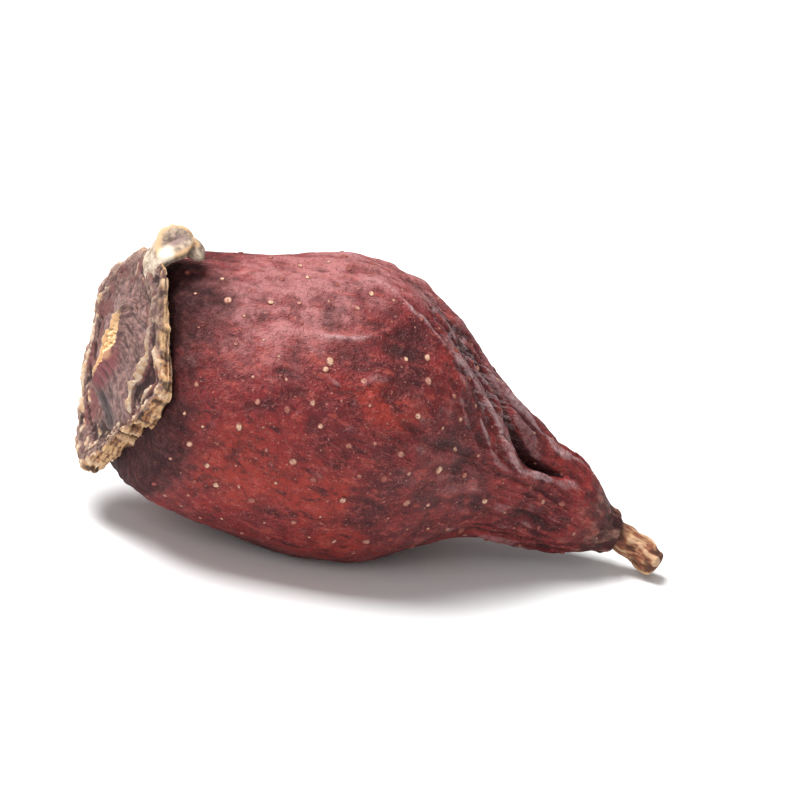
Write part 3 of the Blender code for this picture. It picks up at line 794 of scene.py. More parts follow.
def drawn_mouth(points):
    """Points round the axis, drawn into the mouth's long and narrow shape."""
    near, up = -points[..., 1], points[..., 2]
    share = ease(np.hypot(near, up), MOUTH_END, MOUTH_REACH)
    c, s = math.cos(MOUTH_ANGLE), math.sin(MOUTH_ANGLE)
    lengthwise = up * c + near * s
    narrow = MOUTH_NARROW * (1 - MOUTH_TAPER * np.clip(lengthwise / MOUTH_HALF_LENGTH, -1, 1) ** 2)
    lengthwise = lengthwise * (1 + (MOUTH_LONG - 1) * share)
    across = (near * c - up * s) * (1 + (narrow - 1) * share)
    drawn = points.copy()
    drawn[..., 1] = -(lengthwise * s + across * c + MOUTH_SHIFT[0] * share)
    drawn[..., 2] = lengthwise * c - across * s + MOUTH_SHIFT[1] * share
    return drawn


def make_dome(finish):
    """The low cone in the middle of the plate, furrowed towards its mouth."""
    angle = angles_of(DOME_AROUND)
    radius, along = columns(led_by_share(DOME_PROFILE), np.linspace(0, 1, DOME_RINGS))[..., None]
    spoke = around_axis(0.8 * radius, 5, angle)
    flat = around_axis(0, radius, angle)
    # the furrows are on the flank, and the lumps everywhere but at the middle and the edge
    flank = np.clip((radius - 1.3) / 0.5, 0, 1) * np.clip((DOME_EDGE - radius) / 0.6, 0, 1)
    furrows = grains(spoke, DOME_FURROWS, crease)
    lumpy = np.clip(radius / 1.2, 0, 1) * np.clip((DOME_EDGE - radius) / 0.4, 0, 1)
    sunken = face_spot(flat, *DOME_SUNKEN)
    relief = flank * furrows + grains(flat, DOME_LUMPS) * lumpy - DOME_HOLLOW * sunken
    for degrees, reach, tall, width in (MOUTH_KNOB, *MOUTH_LUMPS):
        relief = relief + tall * face_spot(flat, degrees, reach, width)
    wobble = 1 + 0.06 * grain(spoke, 4.0, 55) + 0.05 * np.cos(2 * angle + 0.6)
    rings = drawn_mouth(flat * wobble[..., None])
    rings[..., 0] = along - relief
    degrees, reach, _, width = MOUTH_KNOB
    marks = {
        "reach": radius,
        "lower": towards(angle, *DOME_LOWER),
        "far": towards(angle, *DOME_FAR),
        "knob": face_spot(flat, degrees, reach, width),
        "sunken": sunken,
        "crest": stands_out(relief, 3, 0.05),
    }
    return close_rings("nectary_cone", rings, finish, marks)


def directions(middle):
    """The unit vectors along a line of points."""
    run = np.gradient(middle, axis=0)
    return run / np.linalg.norm(run, axis=1)[:, None]


def from_spot(share, angle, middle, degrees, length, width):
    """The distance from a spot of the sepal stub, as a share of the spot's own size."""
    return np.hypot((share - middle) / length, turned_by(angle, math.radians(degrees)) / width)


def make_sepal(finish):
    """The knobbly root of the one sepal that didn't break off clean."""
    angle = angles_of(SEPAL_AROUND)
    share = np.linspace(0, 1, SEPAL_RINGS)
    along, distance, thick, wide = columns(led_by_share(SEPAL_PATH), share)
    # both ends are rounded off
    rounding = np.sqrt(np.clip(1 - np.abs(2 * share - 1) ** 5, 0.02, 1))
    middle = np.stack((along, -SEPAL_FOOT_SHIFT * (1 - share) ** 1.5, distance), axis=-1)
    side = np.array((0.0, -1.0, 0.0))
    above = np.cross(side, directions(middle))
    wave = (
        side * (wide * rounding)[:, None, None] * np.cos(angle)[..., None]
        + above[:, None, :] * (thick * rounding)[:, None, None] * np.sin(angle)[..., None]
    )
    rings = middle[:, None, :] + wave
    outward = wave / np.maximum(np.linalg.norm(wave, axis=-1), 0.05)[..., None]
    lumps = grains(rings, SEPAL_LUMPS)
    share = share[:, None]
    # the hollow where the sepal tore away, with a raised ring round it
    across = from_spot(share, angle, *SEPAL_HOLLOW)
    hollow = 0.20 * bell(across - 1.15, 0.35) - 0.46 * bell(across, 0.75)
    # a small lump on the body's side, with a groove before it
    nub = bell(from_spot(share, angle, *SEPAL_NUB), 0.9)
    hollow = hollow + 0.34 * nub - 0.22 * bell(share - 0.80, 0.05)
    rings = rings + outward * (lumps + hollow)[..., None]
    rings = rings @ np.array(Matrix.Rotation(SEPAL_ANGLE, 3, "X")).T
    marks = {
        "crest": np.clip(lumps / 0.22, -1, 1),
        "hollow": bell(across, 0.85),
        "arch": bell(across - 1.2, 0.30),
        "bright": bell(from_spot(share, angle, *SEPAL_BRIGHT), 1.0),
        "reach": share,
    }
    return close_rings("sepal_root", rings, finish, marks)


def make_stalk(finish):
    """The stalk stub: ridged bark, a bend to the near side and a rough broken end."""
    angle = angles_of(STALK_AROUND)
    share = np.linspace(0, 1, STALK_RINGS)
    path = spline(led_by_share(STALK_PATH), share)
    middle, radius = path[:, :3] * (1, -1, 1), path[:, 3:]
    run = directions(middle)
    side = np.cross(run, (0.0, 0.0, 1.0))
    side /= np.linalg.norm(side, axis=1)[:, None]
    above = np.cross(side, run)
    along = middle[:, :1]
    # the bark's ridges run along the stalk, slowly winding and a little unevenly
    turned = angle + BARK_TWIST * (along - 30) + 0.25 * grain(middle, 0.9, 75)[:, None]
    bark = around_axis(0.30 * along, 1, turned)
    ridges = grains(bark, BARK_SWELLS) + grains(bark, BARK_RIDGES, crease)
    solid = around_axis(along, radius, angle)
    end = np.clip((along - STALK_BREAK) / 0.5, 0, 1)
    knobs = (0.10 + 0.26 * end) * grain(solid, 0.8, 73) + (0.04 + 0.06 * end) * grain(solid, 0.34, 74)
    # only the broken end is rounded off
    rounding = np.sqrt(np.clip(1 - np.clip((share[:, None] - 0.90) / 0.104, 0, 1) ** 2.5, 0.01, 1))
    grown = (radius + ridges * (1 - 0.5 * end) + knobs) * rounding
    rings = (
        middle[:, None, :]
        + side[:, None, :] * (grown * np.sin(angle))[..., None]
        + above[:, None, :] * (grown * np.cos(angle))[..., None]
    )
    marks = {"crest": np.clip((ridges + knobs) / 0.09, -1, 1), "reach": along}
    return close_rings("stalk_end", rings, finish, marks)


class Nodes:
    """A node tree that is built up node by node."""

    def __init__(self, tree):
        self.tree = tree

    def feed(self, socket, value):
        """Links an output to the socket, or sets the socket to a plain value or colour."""
        if isinstance(value, bpy.types.NodeSocket):
            self.tree.links.new(value, socket)
        elif socket.type == "RGBA":
            socket.default_value = (*value, 1)
        else:
            socket.default_value = value

    def node(self, kind, *inputs, **named):
        """A node. Names in small letters are its settings, the others its inputs, with _ for a space."""
        node = self.tree.nodes.new(kind)
        for name, value in named.items():
            if name.islower():
                setattr(node, name, value)
        for socket, value in zip(node.inputs, inputs):
            self.feed(socket, value)
        for name, value in named.items():
            if not name.islower():
                self.feed(node.inputs[name.replace("_", " ")], value)
        return node

    def math(self, operation, *values):
        return self.node("ShaderNodeMath", *values, operation=operation).outputs[0]

    def times(self, first, *others):
        """The product of all the values."""
        for other in others:
            first = self.math("MULTIPLY", first, other)
        return first


class Finish(Nodes):
    """A Principled material whose colour is laid on in coats."""

    def __init__(self, name, roughness=0.6, specular=0.5):
        self.material = bpy.data.materials.new(name)
        self.material.use_nodes = True
        super().__init__(self.material.node_tree)
        self.shader = self.tree.nodes["Principled BSDF"]
        self.shader.inputs["Roughness"].default_value = roughness
        self.shader.inputs["Specular IOR Level"].default_value = specular

    def coords(self, stretch=(1, 1, 1)):
        """Millimetres along the fruit's own axes, shortened by stretch so that patterns grow longer."""
        whole = self.node(
            "ShaderNodeMapping",
            self.node("ShaderNodeTexCoord").outputs["Object"],
            Scale=(1 / MM,) * 3,
            Rotation=(0, -REST_TILT, 0),
            Location=tuple(-FRUIT_ORIGIN @ TURN),
        )
        return self.node("ShaderNodeVectorMath", whole.outputs[0], stretch, operation="MULTIPLY").outputs[0]

    def mark(self, name):
        """A number that the mesh carries."""
        return self.node("ShaderNodeAttribute", attribute_name=name).outputs["Fac"]

    def cloud(self, coords, size, detail=3.0, roughness=0.55):
        """Noise from 0 to 1 with patches of about that many millimetres."""
        made = self.node("ShaderNodeTexNoise", coords, Scale=1 / size, Detail=detail, Roughness=roughness)
        return made.outputs["Fac"]

    def lines(self, coords, size, detail, roughness):
        """0 along thin winding lines and more beside them."""
        centred = self.math("SUBTRACT", self.cloud(coords, size, detail, roughness), 0.5)
        return self.math("ABSOLUTE", centred)

    def ramp(self, value, low, high, start=0.0, end=1.0):
        """start below low and end above high, with a smooth change between them."""
        made = self.node(
            "ShaderNodeMapRange", value, low, high, start, end, interpolation_type="SMOOTHSTEP"
        )
        return made.outputs["Result"]

    def blend(self, under, over, share, *limits, label=""):
        """One colour over another, by a share from 0 to 1 or by the ramp of a value between limits."""
        if limits:
            share = self.ramp(share, *limits)
        made = self.node("ShaderNodeMix", share, data_type="RGBA", label=label)
        self.feed(made.inputs[6], under)
        self.feed(made.inputs[7], over)
        return made.outputs[2]

    def base(self, *blend):
        """Lays on the first coat, a blend of two colours."""
        self.colour = self.blend(*blend)

    def coat(self, label, over, share, *limits):
        """Lays a further coat over those before it."""
        self.colour = self.blend(self.colour, over, share, *limits, label=label)

    def emboss(self, height, depth):
        """Adds a bump whose full height is that many millimetres to the bumps before it."""
        made = self.node("ShaderNodeBump", Distance=depth * MM, Height=height)
        normal = self.shader.inputs["Normal"]
        if normal.is_linked:
            self.feed(made.inputs["Normal"], normal.links[0].from_socket)
        self.feed(normal, made.outputs[0])

    def done(self):
        self.feed(self.shader.inputs["Base Color"], self.colour)
        return self.material


def dried_skin_finish():
    """Maroon dried skin: orange-red and wine-dark patches, fine streaks, grey bloom and a painted sheen on
    what stands out.
    """
    skin = Finish("dried_skin", specular=0.22)
    coords, streaky = skin.coords(), skin.coords((0.34, 1, 1))
    crest, fold, ridge = skin.mark("crest"), skin.mark("fold"), skin.mark("ridge")
    streaks = skin.cloud(streaky, 0.50, 4, 0.6)
    mottle = skin.cloud(coords, 0.38, 4, 0.7)
    blotch = skin.cloud(coords, 3.2, 4, 0.6)
    speck = skin.cloud(coords, 0.16, 2, 0.6)
    veins = skin.lines(skin.coords((0.6, 1, 1)), 0.62, 3, 0.6)
    threads = skin.lines(skin.coords((0.24, 1, 1)), 0.55, 3, 0.55)
    glow = skin.times(skin.mark("glow"), skin.ramp(blotch, 0.25, 0.6, 0.45, 1.1))
    dusk = skin.times(skin.mark("dusk"), skin.ramp(blotch, 0.3, 0.65, 1.1, 0.5))

    skin.base((0.125, 0.013, 0.016), (0.225, 0.021, 0.021), blotch, 0.40, 0.60)
    skin.coat("orange red", (0.31, 0.031, 0.021), glow, 0.15, 1.0, 0, 0.85)
    skin.coat("wine dark", (0.068, 0.014, 0.016), dusk, 0.1, 0.9, 0, 0.8)
    skin.coat("light streaks", (0.42, 0.070, 0.052), streaks, 0.53, 0.68, 0, 0.65)
    skin.coat("dark streaks", (0.036, 0.005, 0.008), streaks, 0.47, 0.32, 0, 0.8)
    skin.coat("dark mottle", (0.050, 0.008, 0.010), mottle, 0.45, 0.31, 0, 0.6)
    skin.coat("light veins", (0.32, 0.075, 0.068), veins, 0.030, 0.0, 0, 0.55)
    tangle = skin.lines(coords, 0.9, 4, 0.65)
    skin.coat("dark veins", (0.035, 0.007, 0.009), tangle, 0.020, 0.0, 0, 0.45)
    # painted shade in the hollows of the broad folds and in the small creases
    skin.coat("dark folds", (0.030, 0.007, 0.008), fold, -0.12, -0.85, 0, 0.85)
    skin.coat("dark creases", (0.05, 0.011, 0.012), crest, -0.1, -0.9, 0, 0.5)

    # the grey bloom and the painted sheen lie on what stands out, and there is less of them on the dark
    # patches
    faint = skin.ramp(skin.cloud(coords, 4.0, 3), 0.50, 0.75, 0.03, 0.28)
    bloom_and_sheen = skin.math("ADD", skin.mark("bloom_and_sheen"), faint)
    bloom_and_sheen = skin.times(bloom_and_sheen, skin.ramp(skin.mark("dusk"), 0.1, 1.0, 1.0, 0.35))
    raised = skin.ramp(crest, -0.7, 0.8, 0.55, 1.0)
    grainy = skin.ramp(mottle, 0.34, 0.58, 0.65, 1.0)
    soft = skin.ramp(skin.cloud(coords, 1.5, 3, 0.6), 0.38, 0.60, 0.55, 1.0)
    bloom_and_sheen = skin.times(bloom_and_sheen, raised, grainy, soft)
    # grey bloom, with a painted sheen where it lies on the upper side and on raised parts
    skin.coat("bloom", (0.45, 0.185, 0.180), bloom_and_sheen, 0.04, 1.0, 0, 0.78)
    # pale lines along the ridges and the lip are a painted highlight
    on_lip = skin.times(skin.ramp(skin.mark("lip"), 0.35, 1.15), skin.ramp(ridge, 0.05, 0.6))
    highlit = skin.math("MAXIMUM", on_lip, skin.ramp(ridge, 0.40, 1.0, 0, 0.35))
    highlit = skin.times(highlit, skin.ramp(mottle, 0.36, 0.58, 0.3, 1.0), 0.85)
    skin.coat("rubbed ridges", (0.47, 0.305, 0.31), highlit)
    lace = skin.times(skin.ramp(skin.mark("lace"), 0.15, 0.7), skin.ramp(threads, 0.06, 0.004), 0.5)
    skin.coat("lace beside the pleat", (0.46, 0.32, 0.33), lace)
    skin.coat("light specks", (0.56, 0.26, 0.21), speck, 0.63, 0.76, 0, 0.7)
    skin.coat("dark specks", (0.02, 0.005, 0.006), speck, 0.38, 0.24, 0, 0.8)

    # the shoulder beside the plate gets a painted shadow and the neck's end a bark colour of its own, both
    # with uneven limits
    uneven = skin.ramp(skin.cloud(coords, 1.4, 4, 0.6), 0.2, 0.8, -0.4, 0.4)
    shoulder = skin.ramp(skin.math("ADD", skin.mark("shoulder"), uneven), -0.7, 0.9, 0, 0.88)
    shaded = skin.blend((0.024, 0.006, 0.007), (0.075, 0.026, 0.026), mottle, 0.46, 0.68)
    skin.coat("dark shoulder", shaded, shoulder)
    uneven = skin.ramp(skin.cloud(coords, 1.8, 4, 0.6), 0.2, 0.8, -1.5, 1.5)
    bark = skin.blend((0.048, 0.017, 0.016), (0.26, 0.140, 0.105), streaks, 0.45, 0.66)
    ragged = skin.math("ADD", skin.mark("along"), uneven)
    skin.coat("bark of the neck's end", bark, ragged, 27.2, 30.0, 0, 0.85)

    skin.emboss(skin.cloud(streaky, 0.30, 4, 0.62), 0.09)
    skin.emboss(skin.cloud(coords, 0.26, 4, 0.65), 0.15)
    skin.emboss(skin.ramp(veins, 0.05, 0.0), 0.03)
    roughness = skin.math("MAXIMUM", skin.ramp(bloom_and_sheen, 0.02, 0.5, 0.46, 0.64), skin.times(shoulder, 0.9))
    skin.feed(skin.shader.inputs["Roughness"], roughness)
    return skin.done()


def calyx_finish():
    """Dry scaly tissue: dark grey-purple inside, cream ridges, and an orange-brown torn edge."""
    calyx = Finish("calyx_scale", roughness=0.85, specular=0.22)
    coords = calyx.coords()
    crest, near, far = calyx.mark("crest"), calyx.mark("near"), calyx.mark("far")
    fine = calyx.cloud(coords, 0.24, 4, 0.68)
    crumb = calyx.cloud(coords, 0.36, 4, 0.7)
    patch = calyx.cloud(coords, 1.5, 3, 0.6)
    ragged = calyx.math("ADD", calyx.mark("reach"), calyx.ramp(crumb, 0.2, 0.8, -0.06, 0.06))

    calyx.base((0.095, 0.050, 0.045), (0.250, 0.152, 0.130), fine, 0.36, 0.64)
    calyx.coat("reddish patches", (0.17, 0.060, 0.058), patch, 0.44, 0.60, 0, 0.8)
    # painted shade in the sunken spot of the face
    calyx.coat("dark hollow", (0.030, 0.020, 0.019), calyx.mark("sunken"), 0.35, 0.9, 0, 0.85)
    tan = calyx.blend((0.15, 0.095, 0.080), (0.36, 0.245, 0.195), fine, 0.38, 0.66)
    dull = calyx.blend((0.10, 0.060, 0.052), (0.27, 0.175, 0.150), fine, 0.38, 0.66)
    tan = calyx.blend(tan, dull, near, 0.3, 0.8)
    tan = calyx.blend(tan, (0.40, 0.26, 0.22), far, 0.4, 0.9, 0, 0.6)
    calyx.coat("tan band inside the rim", tan, ragged, 0.84, 0.94, 0, 0.85)
    rust = calyx.blend((0.14, 0.050, 0.026), (0.50, 0.24, 0.10), crumb, 0.42, 0.60)
    dusty = calyx.blend((0.20, 0.10, 0.075), (0.42, 0.27, 0.20), crumb, 0.38, 0.60)
    dusty = calyx.blend(dusty, (0.42, 0.255, 0.215), far, 0.3, 0.9, 0, 0.7)
    dusty = calyx.blend(dusty, (0.15, 0.080, 0.060), near, 0.3, 0.8, 0, 0.7)
    edge = calyx.blend(dusty, rust, calyx.mark("torn"), 0.03, 0.20)
    edge = calyx.blend(edge, (0.64, 0.40, 0.20), calyx.mark("layer"), -0.1, 0.5, 0, 0.85)
    # painted shade in the recesses between the wall's layers
    edge = calyx.blend(edge, (0.10, 0.040, 0.025), calyx.mark("layer"), -0.4, -0.9, 0, 0.85)
    calyx.coat("torn edge", edge, ragged, 0.94, 0.99, 0, 0.9)
    # painted shade on the plate's back, which faces the body
    back = calyx.blend((0.030, 0.019, 0.017), (0.10, 0.07, 0.06), fine, 0.42, 0.68)
    calyx.coat("dark back", back, ragged, 1.03, 1.12)
    # painted shade in the creases of the face
    calyx.coat("dark creases", (0.030, 0.017, 0.017), crest, -0.05, -0.8, 0, 0.85)
    pale = calyx.blend((0.54, 0.33, 0.18), (0.70, 0.56, 0.42), crumb, 0.42, 0.60)
    on_crest = calyx.times(calyx.ramp(crest, 0.20, 0.90, 0, 0.80), calyx.ramp(near, 0.2, 0.8, 1, 0.4))
    calyx.coat("pale crests", pale, on_crest)
    calyx.emboss(calyx.cloud(coords, 0.14, 4, 0.7), 0.07)
    return calyx.done()


def nectary_finish():
    """The cone's dried reddish-purple skin, pale and orange at its mouth."""
    cone = Finish("nectary_skin", roughness=0.6, specular=0.4)
    coords = cone.coords()
    reach = cone.mark("reach")
    low_side = cone.times(cone.mark("lower"), cone.ramp(reach, 2.9, 2.2))
    far_lip = cone.times(cone.mark("far"), cone.ramp(reach, 2.2, 1.85))
    cone.base((0.105, 0.049, 0.045), (0.270, 0.150, 0.130), cone.cloud(coords, 0.30, 4, 0.65), 0.38, 0.64)
    cone.coat("red lower side", (0.22, 0.048, 0.055), low_side, 0.25, 0.8, 0, 0.85)
    cone.coat("pale far lip", (0.78, 0.50, 0.27), far_lip, 0.1, 0.6)
    cone.coat("inside of the mouth", (0.30, 0.15, 0.08), reach, 1.72, 1.5)
    cone.coat("orange knob", (0.60, 0.31, 0.18), cone.mark("knob"), 0.4, 0.8, 0, 0.9)
    # painted shade in the dome's sunken spot
    cone.coat("dark hollow", (0.035, 0.022, 0.022), cone.mark("sunken"), 0.3, 0.85, 0, 0.85)
    cone.coat("dark furrows", (0.04, 0.018, 0.018), cone.mark("crest"), -0.1, -0.9, 0, 0.7)
    cone.emboss(cone.cloud(coords, 0.16, 4, 0.65), 0.05)
    return cone.done()


def sepal_finish():
    """Pale dry tissue with darker hollows."""
    sepal = Finish("sepal_root", roughness=0.88, specular=0.2)
    coords = sepal.coords()
    crest = sepal.mark("crest")
    fine = sepal.cloud(coords, 0.30, 4, 0.65)
    foot = sepal.blend((0.36, 0.27, 0.21), (0.66, 0.54, 0.42), fine, 0.40, 0.62)
    sepal.base((0.24, 0.180, 0.140), (0.52, 0.40, 0.30), fine, 0.36, 0.64)
    sepal.coat("paler foot", foot, sepal.mark("reach"), 0.52, 0.36, 0, 0.9)
    # painted shade in the dips between the lumps
    sepal.coat("dark dips", (0.15, 0.100, 0.082), crest, -0.1, -0.7, 0, 0.6)
    sepal.coat("pale lumps", (0.62, 0.49, 0.36), crest, 0.3, 0.9, 0, 0.6)
    sepal.coat("orange ring", (0.66, 0.42, 0.23), sepal.mark("arch"), 0.3, 0.9, 0, 0.8)
    sepal.coat("pinkish hollow", (0.26, 0.175, 0.165), sepal.mark("hollow"), 0.35, 0.85, 0, 0.85)
    sepal.coat("bright spot", (0.80, 0.70, 0.57), sepal.mark("bright"), 0.35, 0.85, 0, 0.9)
    sepal.emboss(sepal.cloud(coords, 0.14, 4, 0.7), 0.06)
    return sepal.done()


def stalk_finish():
    """Tan bark with reddish patches and dark furrows, paler on its ridges."""
    stalk = Finish("stalk_wood", roughness=0.8, specular=0.3)
    coords = stalk.coords()
    crest = stalk.mark("crest")
    fine = stalk.cloud(stalk.coords((0.2, 1, 1)), 0.16, 4, 0.6)
    stalk.base((0.23, 0.098, 0.050), (0.45, 0.245, 0.130), fine, 0.38, 0.62)
    patch = stalk.cloud(coords, 0.5, 3, 0.6)
    stalk.coat("reddish patches", (0.21, 0.052, 0.030), patch, 0.46, 0.62, 0, 0.80)
    stalk.coat("dark furrows", (0.065, 0.025, 0.017), crest, -0.1, -0.9, 0, 0.80)
    stalk.coat("pale ridges", (0.62, 0.41, 0.25), crest, 0.3, 0.9, 0, 0.6)
    stalk.coat("dark root", (0.10, 0.042, 0.030), stalk.mark("reach"), 31.3, 30.6, 0, 0.75)
    stalk.emboss(stalk.cloud(coords, 0.14, 4, 0.65), 0.05)
    return stalk.done()


def style_finish():
    """Straw-coloured woolly style tips, each a little different."""
    style = Finish("style_tuft", roughness=0.92, specular=0.15)
    fine = style.cloud(style.coords(), 0.15, 3, 0.6)
    style.base((0.70, 0.43, 0.20), (0.92, 0.72, 0.45), style.mark("shade"), 0.1, 0.8)
    style.coat("brown flecks", (0.34, 0.17, 0.08), fine, 0.42, 0.28, 0, 0.6)
    style.emboss(fine, 0.05)
    return style.done()


def scar_finish():
    """Bristle scars: cream to orange-brown, darker and redder towards their edge."""
    scar = Finish("bristle_scar", roughness=0.6, specular=0.4)
    shade, reach = scar.mark("shade"), scar.mark("reach")
    fine = scar.cloud(scar.coords(), 0.14, 3, 0.6)
    scar.base((0.27, 0.070, 0.048), (0.50, 0.25, 0.18), shade, 0.10, 0.55)
    scar.coat("cream ones", (0.66, 0.42, 0.28), shade, 0.55, 0.92)
    scar.coat("red flecks", (0.20, 0.045, 0.033), fine, 0.54, 0.36, 0, 0.85)
    scar.coat("darker dimple", (0.40, 0.15, 0.09), reach, 0.25, 0.02, 0, 0.4)
    scar.coat("dark edge", (0.15, 0.022, 0.019), reach, 0.36, 0.84, 0, 0.97)
    scar.emboss(fine, 0.04)
    return scar.done()


class Growth(Nodes):
    """A Geometry Nodes tree with named sizes that sets instances on a host and makes them a piece."""

    def __init__(self, name, sizes):
        super().__init__(bpy.data.node_groups.new(name, "GeometryNodeTree"))
        self.sizes = sizes
        self.tree.interface.new_socket("Host", in_out="INPUT", socket_type="NodeSocketGeometry")
        for label in sizes:
            self.tree.interface.new_socket(label, in_out="INPUT", socket_type="NodeSocketFloat")
        self.tree.interface.new_socket("Made", in_out="OUTPUT", socket_type="NodeSocketGeometry")
        self.start = self.tree.nodes.new("NodeGroupInput").outputs

    def random(self, low, high, seed):
        made = self.node("FunctionNodeRandomValue", data_type="FLOAT", Seed=seed)
        self.feed(made.inputs[2], low)
        self.feed(made.inputs[3], high)
        return made.outputs[1]

    def triple(self, x, y, z):
        return self.node("ShaderNodeCombineXYZ", x, y, z).outputs[0]

    def carried(self, name, kind):
        """What the host's points carry under that name."""
        return self.node("GeometryNodeInputNamedAttribute", data_type=kind, Name=name).outputs["Attribute"]

    def crumple(self, geometry, size, amount):
        """Moves the points by noise, so that no two instances are alike."""
        spot = self.node("GeometryNodeInputPosition").outputs[0]
        cloud = self.node("ShaderNodeTexNoise", spot, Scale=1 / (size * MM), Detail=2)
        centred = self.node(
            "ShaderNodeVectorMath", cloud.outputs["Color"], (0.5, 0.5, 0.5), operation="SUBTRACT"
        )
        offset = self.node(
            "ShaderNodeVectorMath", centred.outputs[0], operation="SCALE", Scale=2 * amount * MM
        )
        return self.node("GeometryNodeSetPosition", geometry, Offset=offset.outputs[0]).outputs[0]

    def grow(self, name, host, instances, finish, crumple):
        """Makes the instances real, with a random shade each, and returns them as a plain mesh piece."""
        shaded = self.node(
            "GeometryNodeStoreNamedAttribute",
            instances,
            data_type="FLOAT",
            domain="INSTANCE",
            Name="shade",
            Value=self.random(0.0, 1.0, SHADE_SEEDS[name]),
        )
        real = self.node("GeometryNodeRealizeInstances", shaded.outputs[0]).outputs[0]
        smooth = self.node("GeometryNodeSetShadeSmooth", self.crumple(real, *crumple)).outputs[0]
        painted = self.node("GeometryNodeSetMaterial", smooth, Material=finish).outputs[0]
        self.node("NodeGroupOutput", painted)
        modifier = host.modifiers.new("grow", "NODES")
        modifier.node_group = self.tree
        for item in self.tree.interface.items_tree:
            if item.in_out == "INPUT" and item.name in self.sizes:
                modifier[item.identifier] = float(self.sizes[item.name])
        grown = host.evaluated_get(bpy.context.evaluated_depsgraph_get())
        mesh = bpy.data.meshes.new_from_object(grown)
        host.modifiers.remove(modifier)
        bpy.data.objects.remove(host)
        mesh.name = name
        return show(name, mesh)


def scar_button():
    """The shape that every bristle scar is made from: a low ring with a dimple, one unit in radius."""
    mesh = bpy.data.meshes.new("scar_button")
    bm = bmesh.new()
    middle = bm.verts.new((0, 0, SCAR_SECTION[0][1]))
    around = [(math.cos(angle), math.sin(angle)) for angle in angles_of(SCAR_AROUND)[0]]
    loops = []
    for share, height in SCAR_SECTION[1:]:
        loops.append([bm.verts.new((share * x, share * y, height)) for x, y in around])
    for i in range(SCAR_AROUND):
        j = (i + 1) % SCAR_AROUND
        bm.faces.new((middle, loops[0][i], loops[0][j]))
        for inner, outer in zip(loops, loops[1:]):
            bm.faces.new((inner[i], outer[i], outer[j], inner[j]))
    bm.faces.new(reversed(loops[-1]))
    bm.to_mesh(mesh)
    bm.free()
    carry(mesh, "reach", [math.hypot(*vertex.co[:2]) for vertex in mesh.vertices])
    return show("scar_button", mesh)


def scar_places():
    """Where the scars are: place, angle and radius. The large ones are set, the others are scattered."""
    chance = np.random.default_rng(SCAR_SEED)
    chosen = []
    for at, degrees in LARGE_SCARS:
        chosen.append((at, math.radians(degrees), LARGE_SCAR_RADIUS * chance.uniform(0.8, 1.15)))
    for _ in range(SCAR_TRIES):
        at, angle = chance.uniform(*SCAR_STRETCH), chance.uniform(0, FULL_TURN)
        top, bottom, side = spline(BODY_STATIONS, at)
        radius = (side + (top - bottom) / 2) / 2
        if chance.uniform() > radius / WIDEST_RADIUS:
            continue
        apart = min(math.hypot(at - p, radius * turned_by(angle, a)) for p, a, _ in chosen)
        if apart > SCAR_SPACING:
            chosen.append((at, angle, SCAR_RADIUS * chance.choice(SMALL_SCAR_SHARES)))
    return np.array(chosen)


def scar_host(rings):
    """A point for each scar, on the body's rings, that carries the outward direction and the radius."""
    chosen = scar_places()
    along = rings[:, :, 0].mean(1)
    first = np.searchsorted(along, BODY_STATIONS[0][0])
    row = np.clip(first + np.searchsorted(along[first:], chosen[:, 0]), 2, len(along) - 3)
    column = np.round(chosen[:, 1] / FULL_TURN * BODY_AROUND).astype(int) % BODY_AROUND
    clear = place(rings[row, column])[:, 2] > BELLY_CLEARANCE * MM
    row, column, wide = row[clear], column[clear], chosen[clear, 2] * MM
    forward = place(rings[row + 2, column]) - place(rings[row - 2, column])
    sideways = place(rings[row, (column + 2) % BODY_AROUND]) - place(rings[row, column - 2])
    outward = np.cross(sideways, forward)
    outward /= np.linalg.norm(outward, axis=1)[:, None]
    mesh = bpy.data.meshes.new("scar_spots")
    mesh.from_pydata(place(rings[row, column]).tolist(), [], [])
    mesh.attributes.new("outward", "FLOAT_VECTOR", "POINT").data.foreach_set("vector", outward.ravel())
    carry(mesh, "wide", wide)
    return show("scar_spots", mesh)


def grow_scars(rings, finish):
    """Low round scars where the fruit's bristles fell, set on the skin."""
    button = scar_button()
    made = Growth("bristle_scars", {"Least Stretch": 0.8, "Most Stretch": 1.25})
    outward = made.carried("outward", "FLOAT_VECTOR")
    wide = made.carried("wide", "FLOAT")
    long = made.times(wide, made.random(made.start["Least Stretch"], made.start["Most Stretch"], 2))
    placed = made.node(
        "GeometryNodeInstanceOnPoints",
        made.node("GeometryNodeMeshToPoints", made.start["Host"]).outputs[0],
        Instance=made.node("GeometryNodeObjectInfo", Object=button).outputs["Geometry"],
        Rotation=made.node("FunctionNodeAlignRotationToVector", axis="Z", Vector=outward).outputs[0],
        Scale=made.triple(wide, long, made.times(wide, made.random(0.7, 1.3, 5))),
    )
    scars = made.grow("bristle_scars", scar_host(rings), placed.outputs[0], finish, SCAR_CRUMPLE)
    bpy.data.objects.remove(button)
    return scars


def style_ground():
    """A flat disc in the cone's mouth, which the styles stand on."""
    mesh = bpy.data.meshes.new("style_ground")
    bm = bmesh.new()
    rim = around_axis(*STYLE_GROUND, angles_of(STYLE_GROUND_AROUND)[0])
    bm.faces.new([bm.verts.new(point) for point in place(drawn_mouth(rim))])
    bm.normal_update()
    if bm.faces[:][0].normal.dot(Vector(-TURN[:, 0])) < 0:
        bmesh.ops.reverse_faces(bm, faces=bm.faces[:])
    bm.to_mesh(mesh)
    bm.free()
    return show("style_ground", mesh)


